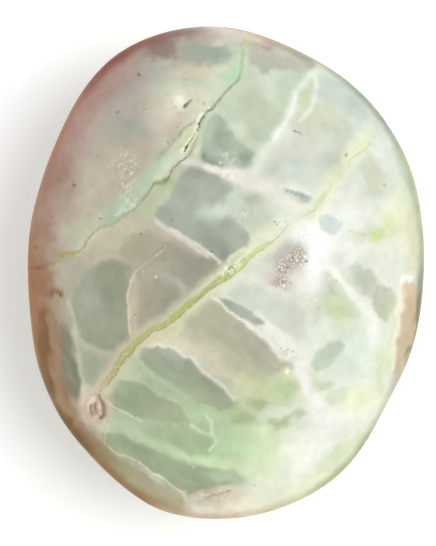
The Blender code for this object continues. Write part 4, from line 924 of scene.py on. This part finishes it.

# %% [markdown]
# ## The painted rim
# The rim is painted with reflection and shade: red-brown at the upper left through tan at the
# left to brown at the lower left, and a thin grey at the right rim. The painted band lies
# along the widest level, so it is laid by the distance from the outline. Below that level it
# is calmer in colour, and it breaks up into patches.

# %% Painted reflection and shade along the rim: bearing, half spread, width in mm, strength and colour
RIM_SHADE_AND_REFLECTION = (
    (132, 24, 3.6, 0.8, (165, 124, 117)), (161, 18, 3.8, 0.9, (147, 112, 98)),
    (187, 18, 3.4, 0.92, (150, 106, 80)), (208, 13, 2.6, 0.92, (134, 100, 70)),
    (208, 13, 0.8, 0.85, (148, 110, 58)), (225, 16, 2.2, 0.92, (128, 98, 64)),
    (228, 14, 0.9, 0.85, (108, 80, 36)), (246, 16, 1.7, 0.8, (156, 140, 106)),
    (245, 15, 0.9, 0.9, (130, 92, 48)), (264, 12, 1.0, 0.9, (182, 160, 128)),
    (103, 11, 2.0, 0.8, (138, 124, 113)), (80, 8, 2.2, 0.5, (206, 194, 176)),
    (128, 22, 1.0, 0.85, (148, 98, 82)), (113, 14, 1.1, 0.9, (124, 66, 53)),
    (181, 12, 0.7, 0.85, (152, 98, 56)), (150, 20, 0.6, 0.8, (156, 118, 92)),
    (284, 10, 0.8, 0.85, (172, 148, 118)), (83, 9, 0.55, 0.85, (198, 144, 120)),
    (64, 12, 0.7, 0.85, (148, 154, 130)), (74, 7, 0.8, 0.8, (168, 158, 138)),
    (294, 18, 2.8, 0.45, (214, 222, 168)), (45, 14, 0.8, 0.9, (142, 152, 136)),
    (25, 14, 1.1, 0.9, (168, 182, 142)), (5, 12, 1.0, 0.9, (164, 176, 138)),
    (355, 10, 1.0, 0.9, (136, 138, 116)), (343, 10, 1.2, 0.9, (136, 124, 88)),
    (333, 12, 1.0, 0.9, (150, 142, 110)), (318, 12, 0.7, 0.85, (190, 197, 170)),
    (303, 14, 0.8, 0.85, (150, 162, 110)),
)
FLANK_CALM = 0.75  # how far the painted rim colours give way to the calm ones, below the rim
FLANK_FADE = 0.6  # how much of the painted rim colour fades away there, where it fades most
FLANK_RIM_SHADE = (  # bearing and colour of the painted rim shade where it thins out below the rim
    (0, (190, 188, 162)), (50, (188, 186, 162)), (90, (186, 164, 146)), (125, (164, 134, 120)),
    (160, (162, 134, 112)), (205, (156, 128, 100)), (245, (164, 142, 112)), (275, (198, 182, 154)),
    (310, (196, 196, 168)), (335, (182, 174, 146)), (360, (190, 188, 162)),
)


def outline_radius(points, bearings):
    """The outline's radius towards each bearing, measured on the skin against an ellipse."""
    reach = np.hypot(points[:, 0], points[:, 1])
    turn = np.radians(bearings)
    wide, long = half_size[0] / MM, half_size[1] / MM
    ellipse = wide * long / np.hypot(long * np.cos(turn), wide * np.sin(turn))
    bins = (bearings / 5).astype(int) % 72
    swell = np.array([(reach / ellipse)[bins == n].max() for n in range(72)])
    return ellipse * np.interp(bearings, np.arange(72) * 5 + 2.5, swell, period=360)


bearings = np.degrees(np.arctan2(points[:, 1], points[:, 0])) % 360
from_rim = outline_radius(points, bearings) - np.hypot(points[:, 0], points[:, 1])
# The mask and the colours of the rim's painted reflection and shade.
rim_shade = np.zeros(len(points))
rim_shade_colours = np.tile(linear((170, 120, 90)), (len(points), 1))
turned_down = 1 - ease(normals[:, 2] + 0.06 * patchy, -0.08, 0.24)
wander = bearings + turned_down * (14 * patchy + 12 * warm)  # in degrees
masks = []
for bearing, spread, width, strength, tint in RIM_SHADE_AND_REFLECTION:
    away = np.abs((wander - bearing + 180) % 360 - 180)
    mask = strength * (1 - ease(away, 0.4 * spread, 1.35 * spread))
    ragged = width * (0.25 * patchy + 0.6 * turned_down * warm)
    mask *= 1 - ease(from_rim + ragged, 0.1 * width, 1.6 * width)
    masks.append((tint, mask))
for line in RIM_LINES:
    masks.append((line[0], line_mask(line, drift, width_noise) * (1 - turned_down)))
for tint, mask in masks:
    share = mask / np.maximum(rim_shade + mask * (1 - rim_shade), 1e-6)
    rim_shade_colours = lay_over(rim_shade_colours, linear(tint), np.clip(share, 0, 1))
    rim_shade = rim_shade + mask * (1 - rim_shade)
calm_colours = linear(along_x(FLANK_RIM_SHADE, bearings))
rim_shade_colours = lay_over(rim_shade_colours, calm_colours, FLANK_CALM * turned_down)
rim_shade *= 1 - FLANK_FADE * turned_down * ease(warm + 0.7 * patchy, -0.5, 0.5)
print("stain covers", round(float((rim_shade > 0.5).mean()), 2), "of the skin")

# %% Even out the light that the colours were seen in
FLOOR_GLOW = 1.0
LOST_BELOW = 0.935  # the share of the light that comes back from under the skin
RIM_SHADE_SHINE = 0.15  # how glossy the painted rim is, as a share of the rest
SHEEN, EDGE_SHEEN, LAMP_SHEEN = 0.035, 0.12, 0.07  # gloss all over, at the edge, under the lamp
LEAST_OWN = 0.7  # the share of a dark colour that is its own, whatever the gloss
MOST_WHITE = 0.88


def evened(colours, shine=1.0):
    """Takes the light of the view out of colours, so that the lamp can put it back."""
    rise = normals[:, 2]
    lit = normals @ np.array(to_key)
    lit = (lit + np.sqrt(lit * lit + 0.04)) / 2  # the wide lamp reaches round the edge
    light = (WORLD_STRENGTH * (1 + rise) + FLOOR_GLOW * (1 - rise)) / 2 + KEY_STRENGTH / math.pi * lit
    glare = ease(normals @ np.array((to_key + Vector((0, 0, 1))).normalized()), 0.9, 1.0)
    slope = 1 - np.abs(rise)
    gloss = shine * (SHEEN + EDGE_SHEEN * slope**3 + LAMP_SHEEN * glare)[:, None]
    own = np.maximum(colours - gloss, LEAST_OWN * colours) / (LOST_BELOW * light[:, None])
    most = own.max(axis=1)
    return own * (np.minimum(most, MOST_WHITE) / most)[:, None]


def colour_attribute(piece, name, values):
    layer = piece.data.attributes.new(name, "FLOAT_COLOR", "POINT")
    rgba = np.ones((len(values), 4))
    rgba[:, :3] = values
    layer.data.foreach_set("color", rgba.ravel())


def float_attribute(piece, name, values):
    layer = piece.data.attributes.new(name, "FLOAT", "POINT")
    layer.data.foreach_set("value", values)


pock = np.zeros(len(points))
pock_places = points[:, :2] + 0.1 * quick + 0.05 * finest
for pock_x, pock_y, radius, dark in POCKS:
    away = np.hypot(pock_places[:, 0] - pock_x, pock_places[:, 1] - pock_y)
    pock = np.maximum(pock, dark * (1 - ease(away, 0.25 * radius, 1.35 * radius)))
gashes = np.zeros(len(points))
for half_width, gash in GASHES:
    away = distance_to(gash, points[:, :2] + 0.05 * quick)
    gashes = np.maximum(gashes, 1 - ease(away, 0.5 * half_width, 1.5 * half_width))
# Painted glints: small white specks laid into the colour.
glint = np.zeros(len(points))
for glint_x, glint_y, radius in PAINTED_GLINTS:
    away = np.hypot(pock_places[:, 0] - glint_x, pock_places[:, 1] - glint_y)
    glint = np.maximum(glint, 1 - ease(away, 0.4 * radius, 1.2 * radius))

colour_attribute(stone, "face colour", evened(colours))
colour_attribute(stone, "ground colour", evened(ground_colours))
colour_attribute(stone, "stain colour", evened(rim_shade_colours, RIM_SHADE_SHINE))
float_attribute(stone, "face", face)
float_attribute(stone, "rim_shade", rim_shade)
for name, (offset, tints, strength, _) in sheets.items():
    float_attribute(stone, name + " offset", offset)
    colour_attribute(stone, name + " colour", evened(tints))
    float_attribute(stone, name + " strength", strength)
float_attribute(stone, "clear", clear * (1 - lines) * face)
float_attribute(stone, "sugar", patches(SUGARY, places) * face)
float_attribute(stone, "chalk", patches(CHALKY, places) * face)
float_attribute(stone, "thread", chalk_thread(points))
float_attribute(stone, "pock", pock * face)
float_attribute(stone, "gash", gashes * face)
float_attribute(stone, "glint", glint * face)
float_attribute(stone, "crystals", (1 - ease(pit, 0.8, 1.15)) * face)
print("attributes:", len(stone.data.attributes))

# %% [markdown]
# ## The polished moonstone
# The real surface is satin from the tumbler, milky just under the skin, with faint clouds
# inside it. The shader mixes the laid marks with noise of three sizes, breaks the edges of
# the marks, and adds a little scattering under the skin. Where the marks end, on the flanks
# and the underside, cells of a Voronoi texture stand for the windows, and their borders for
# the veins, since these are the shapes that crystals leave when they grow together.

# %% Helpers for nodes
class Shading:
    """A material's node tree, with short ways to add what this stone needs."""

    def __init__(self, material):
        self.tree = material.node_tree
        self.place = self.add("ShaderNodeTexCoord").outputs["Object"]

    def add(self, kind, **settings):
        node = self.tree.nodes.new(kind)
        for name, value in settings.items():
            setattr(node, name, value)
        return node

    def put(self, socket, value):
        if isinstance(value, bpy.types.NodeSocket):
            self.tree.links.new(value, socket)
        else:
            socket.default_value = value

    def attribute(self, name, output="Fac"):
        return self.add("ShaderNodeAttribute", attribute_name=name).outputs[output]

    def clouds(self, size, detail=3.0, place=None):
        """Noise of a size in metres, around 0.5."""
        node = self.add("ShaderNodeTexNoise")
        self.put(node.inputs["Vector"], place or self.place)
        self.put(node.inputs["Scale"], 1 / size)
        self.put(node.inputs["Detail"], detail)
        return node.outputs["Fac"]

    def stretched(self, turn, along, aside):
        """Places that noise is read at, stretched along a bearing in degrees."""
        turned = self.add("ShaderNodeMapping")
        self.put(turned.inputs["Vector"], self.place)
        turned.inputs["Rotation"].default_value = (0.0, 0.0, math.radians(-turn))
        scaled = self.add("ShaderNodeMapping")
        self.put(scaled.inputs["Vector"], turned.outputs["Vector"])
        scaled.inputs["Scale"].default_value = (1 / along, 1 / aside, 1 / aside)
        return scaled.outputs["Vector"]

    def step(self, value, start, end, low=0.0, high=1.0):
        """Maps a value between start and end to low to high, with smooth ends."""
        node = self.add("ShaderNodeMapRange", interpolation_type="SMOOTHSTEP")
        for socket, setting in zip(node.inputs, (value, start, end, low, high)):
            self.put(socket, setting)
        return node.outputs["Result"]

    def math(self, operation, first, second=0.0):
        node = self.add("ShaderNodeMath", operation=operation)
        self.put(node.inputs[0], first)
        self.put(node.inputs[1], second)
        return node.outputs[0]

    def times(self, first, *others):
        for other in others:
            first = self.math("MULTIPLY", first, other)
        return first

    def mix(self, share, first, second, blend="MIX"):
        node = self.add("ShaderNodeMix", data_type="RGBA", blend_type=blend)
        self.put(node.inputs[0], share)
        self.put(node.inputs[6], first)
        self.put(node.inputs[7], second)
        return node.outputs[2]

    def cells(self, size, feature, place=None):
        """Crystal grains of a size in metres."""
        node = self.add("ShaderNodeTexVoronoi", feature=feature)
        self.put(node.inputs["Vector"], place or self.place)
        self.put(node.inputs["Scale"], 1 / size)
        return node


def tint(red, green, blue):
    return (*linear((red, green, blue)), 1.0)


material = bpy.data.materials.new("polished green moonstone")
material.use_nodes = True
shading = Shading(material)
shader = material.node_tree.nodes["Principled BSDF"]
print("the shader has", len(shader.inputs), "sockets")

# %% The pattern of the flanks and the underside
CELL = 9 * MM
warp = shading.add("ShaderNodeTexNoise")
shading.put(warp.inputs["Vector"], shading.place)
shading.put(warp.inputs["Scale"], 1 / (6 * MM))
shading.put(warp.inputs["Detail"], 3.0)
shifted = shading.add("ShaderNodeVectorMath", operation="MULTIPLY_ADD")
shading.put(shifted.inputs[0], warp.outputs["Color"])
shading.put(shifted.inputs[1], (4 * MM, 4 * MM, 4 * MM))
shading.put(shifted.inputs[2], shading.place)
crystal_bodies = shading.cells(CELL, "F1", shifted.outputs["Vector"])
borders = shading.cells(CELL, "DISTANCE_TO_EDGE", shifted.outputs["Vector"])
body_share = shading.add("ShaderNodeSeparateColor")
shading.put(body_share.inputs["Color"], crystal_bodies.outputs["Color"])
ramp = shading.add("ShaderNodeValToRGB")
shading.put(ramp.inputs["Fac"], body_share.outputs["Red"])
CELL_TINTS = (
    (0.0, (168, 178, 158)), (0.3, (186, 192, 168)), (0.5, (220, 226, 208)), (0.75, (196, 212, 182)),
    (1.0, (178, 170, 154)),
)
ramp.color_ramp.elements[0].color = tint(*CELL_TINTS[0][1])
ramp.color_ramp.elements[1].color = tint(*CELL_TINTS[-1][1])
for position, colour in CELL_TINTS[1:-1]:
    ramp.color_ramp.elements.new(position).color = tint(*colour)
milk = shading.step(shading.clouds(14 * MM), 0.42, 0.6)
flank = shading.mix(milk, ramp.outputs["Color"], tint(226, 230, 212))
flank = shading.mix(0.5, flank, shading.attribute("ground colour", "Color"))
vein_share = shading.step(borders.outputs["Distance"], 0.02, 0.07, 0.85, 0.0)
vein_share = shading.times(vein_share, shading.step(shading.clouds(8 * MM), 0.4, 0.55))
flank = shading.mix(vein_share, flank, tint(240, 236, 222))

# %% The face, and the painted rim reflection and shade over it
broken = shading.clouds(0.7 * MM, 4.0)
unsure = shading.math("SUBTRACT", broken, 0.5)


def broken_edge(mask, strength=0.45):
    """A mask whose soft edge is broken up by fine noise."""
    inner = shading.times(shading.math("SUBTRACT", 1.0, mask), mask, 4.0)
    return shading.math("ADD", mask, shading.times(unsure, strength, inner))


colour = shading.mix(shading.attribute("face"), flank, shading.attribute("face colour", "Color"))
rim_shaded = broken_edge(shading.attribute("rim_shade"), 0.5)
colour = shading.mix(rim_shaded, colour, shading.attribute("stain colour", "Color"))

# %% Clouds and grain in the body of the stone, and faint milk in its clear windows
cloudy = shading.step(shading.clouds(5 * MM, 5.0), 0.3, 0.7, 0.95, 1.04)
milky = shading.step(shading.clouds(1.6 * MM, 5.0), 0.3, 0.7, 0.95, 1.04)
grainy = shading.step(shading.clouds(0.35 * MM, 3.0), 0.25, 0.75, 0.97, 1.025)
tone = shading.add("ShaderNodeCombineColor")
for channel in ("Red", "Green", "Blue"):
    shading.put(tone.inputs[channel], shading.times(cloudy, milky, grainy))
colour = shading.mix(1.0, colour, tone.outputs["Color"], "MULTIPLY")
wisps = shading.clouds(3.2 * MM, 5.0, shading.stretched(-35, 1.6, 1.0))
wisps = shading.times(shading.step(wisps, 0.5, 0.75), shading.attribute("clear"), 0.2)
colour = shading.mix(wisps, colour, tint(208, 216, 200))

# %% The bands of the seam and the fissure
streaks = shading.clouds(0.28 * MM, 3.0, shading.stretched(40, 3.0, 1.0))
crumbs = shading.clouds(0.36 * MM, 3.0)
grit = shading.clouds(0.22 * MM, 2.0)


def lay_band(colour, name, edge, thread_tint):
    """Lays a sheet's band over a colour, with darker threads along its edges."""
    signed = shading.math("ADD", shading.attribute(name + " offset"), shading.times(unsure, 1.1))
    away = shading.math("ABSOLUTE", signed)
    strength = shading.attribute(name + " strength")
    own = shading.attribute(name + " colour", "Color")
    core = shading.times(shading.step(away, edge - 0.4, edge + 0.6, 1.0, 0.0), strength)
    low_thread = shading.math("ABSOLUTE", shading.math("ADD", signed, edge - 0.2))
    low_thread = shading.step(low_thread, 0.1, 0.4, 0.9, 0.0)
    high_thread = shading.math("ABSOLUTE", shading.math("SUBTRACT", signed, edge - 0.1))
    high_thread = shading.times(
        shading.step(high_thread, 0.05, 0.35, 0.9, 0.0), shading.step(streaks, 0.45, 0.6)
    )
    thread = shading.math("MAXIMUM", low_thread, high_thread)
    band = shading.mix(thread, own, shading.mix(1.0, own, thread_tint, "MULTIPLY"))
    pale = shading.times(shading.step(streaks, 0.54, 0.7), 0.35)
    band = shading.mix(pale, band, tint(236, 238, 196))
    colour = shading.mix(core, colour, band)
    chalk = shading.attribute("chalk")
    dark_crumb = shading.times(shading.step(grit, 0.47, 0.4), core, chalk, 0.6)
    colour = shading.mix(dark_crumb, colour, tint(146, 152, 88))
    crumb = shading.times(
        shading.step(away, 1.3, 2.6, 1.0, 0.0), shading.step(grit, 0.53, 0.62), chalk, 0.6
    )
    return shading.mix(crumb, colour, tint(243, 245, 216)), core


colour, fissure_core = lay_band(colour, "fissure", 0.9, (0.84, 0.88, 0.78, 1.0))
colour, seam_core = lay_band(colour, "seam", 0.95, (0.7, 0.72, 0.5, 1.0))

# %% Sugary and chalky patches, crystals, painted glints, pocks and gashes
sugar = shading.attribute("sugar")
grain_edges = shading.cells(0.32 * MM, "DISTANCE_TO_EDGE").outputs["Distance"]
grain_edges = shading.math("ADD", grain_edges, shading.times(shading.math("SUBTRACT", grit, 0.5), 0.5))
grain_hearts = shading.times(shading.step(grain_edges, 0.12, 0.3), shading.step(crumbs, 0.42, 0.56))
colour = shading.mix(shading.times(grain_hearts, sugar, 0.8), colour, tint(249, 240, 230))
grain_net = shading.step(grain_edges, 0.02, 0.16, 1.0, 0.0)
net = shading.times(grain_net, shading.step(shading.clouds(1.1 * MM), 0.4, 0.56), sugar, 0.75)
colour = shading.mix(net, colour, tint(136, 108, 92))
specks = shading.times(shading.step(grit, 0.38, 0.3), sugar, 0.8)
colour = shading.mix(specks, colour, tint(104, 82, 68))
chalk = shading.attribute("chalk")
thread = shading.times(shading.attribute("thread"), chalk)
# Where the flakes dip the colour is darkened, and where they rise it is paled: painted shade and highlight
# of the fine relief on the chalky patches.
flakes = shading.clouds(0.5 * MM, 4.0, shading.stretched(70, 1.6, 1.0))
painted_flake_shade = shading.mix(1.0, colour, (0.66, 0.63, 0.6, 1.0), "MULTIPLY")
colour = shading.mix(shading.times(shading.step(flakes, 0.47, 0.37), chalk, 0.5), colour, painted_flake_shade)
paler = shading.mix(0.6, colour, tint(255, 250, 240))
colour = shading.mix(shading.times(shading.step(flakes, 0.54, 0.64), chalk, 0.7), colour, paler)
colour = shading.mix(shading.times(thread, 0.5), colour, paler)
crystals = shading.attribute("crystals")
pit_grain = shading.times(shading.step(crumbs, 0.46, 0.36), crystals, 0.15)
colour = shading.mix(pit_grain, colour, tint(140, 110, 94))
# The painted glints.
glints = shading.times(shading.attribute("glint"), shading.step(crumbs, 0.4, 0.5, 0.4, 1.0), 0.8)
colour = shading.mix(glints, colour, tint(252, 250, 240))
pocks = shading.times(shading.attribute("pock"), shading.step(crumbs, 0.35, 0.55, 1.0, 0.7), 0.75)
colour = shading.mix(pocks, colour, tint(104, 90, 78))
# Inside the gashes the colour is darkened almost to black: painted shade in the cracks.
gash = shading.attribute("gash")
colour = shading.mix(shading.times(gash, 0.9), colour, tint(66, 56, 38))
shading.put(shader.inputs["Base Color"], colour)

# %% Gloss, depth and the finest relief
hollow = shading.math("MAXIMUM", sugar, shading.math("MAXIMUM", crystals, shading.attribute("pock")))
hollow = shading.math("MAXIMUM", hollow, gash)
rough = shading.step(shading.clouds(3 * MM, 4.0), 0.3, 0.7, 0.27, 0.37)
rough = shading.math("ADD", rough, shading.times(hollow, 0.3))
rough = shading.math("ADD", rough, shading.times(shading.math("MAXIMUM", seam_core, fissure_core), 0.15))
rough = shading.math("ADD", rough, shading.times(rim_shaded, 0.12))
shading.put(shader.inputs["Roughness"], rough)
# The painted rim has almost no gloss, so that no real reflection lightens its painted shade.
shading.put(shader.inputs["Specular IOR Level"], shading.step(rim_shaded, 0.1, 0.8, 0.5, 0.04))
shader.inputs["IOR"].default_value = 1.52
shader.inputs["Subsurface Weight"].default_value = 0.25
shader.inputs["Subsurface Radius"].default_value = (1.0, 1.0, 0.8)
shader.inputs["Subsurface Scale"].default_value = 1.2 * MM

relief = shading.times(shading.clouds(2.2 * MM, 2.0), 0.6)
relief = shading.math("ADD", relief, shading.times(shading.clouds(0.3 * MM, 3.0), 0.15))
relief = shading.math("ADD", relief, shading.times(crumbs, hollow, 1.2))
relief = shading.math("ADD", relief, shading.times(streaks, seam_core, 0.5))
relief = shading.math("ADD", relief, shading.times(shading.math("ADD", thread, flakes), chalk, 1.0))
bump = shading.add("ShaderNodeBump")
bump.inputs["Strength"].default_value = 0.35
bump.inputs["Distance"].default_value = 0.1 * MM
shading.put(bump.inputs["Height"], relief)
shading.put(shader.inputs["Normal"], bump.outputs["Normal"])
stone.data.materials.clear()
stone.data.materials.append(material)
make_active(stone)
bpy.ops.object.shade_smooth()
print("the finish has", len(material.node_tree.nodes), "nodes")

# %% [markdown]
# ## The floor
# A plain pale sheet, large enough to fill every view. It is part of the stage and not of the
# stone. It glows a little, so that it comes out as white as the ground that the stone was
# seen on.

# %% Floor
FLOOR_SIZE = 6.0
deselect_all()
bpy.ops.mesh.primitive_plane_add(size=FLOOR_SIZE, location=(0, 0, 0))
floor = bpy.context.active_object
floor.name = "floor"
floor_material = bpy.data.materials.new("pale floor")
floor_material.use_nodes = True
floor_shader = floor_material.node_tree.nodes["Principled BSDF"]
floor_shader.inputs["Base Color"].default_value = (0.95, 0.95, 0.945, 1.0)
floor_shader.inputs["Roughness"].default_value = 0.8
floor_shader.inputs["Emission Color"].default_value = (1.0, 1.0, 1.0, 1.0)
floor_shader.inputs["Emission Strength"].default_value = 0.15
floor.data.materials.append(floor_material)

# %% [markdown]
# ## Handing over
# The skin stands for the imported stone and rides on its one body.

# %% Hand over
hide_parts("moonstone")
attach(stone, "root")
bpy.context.view_layer.update()
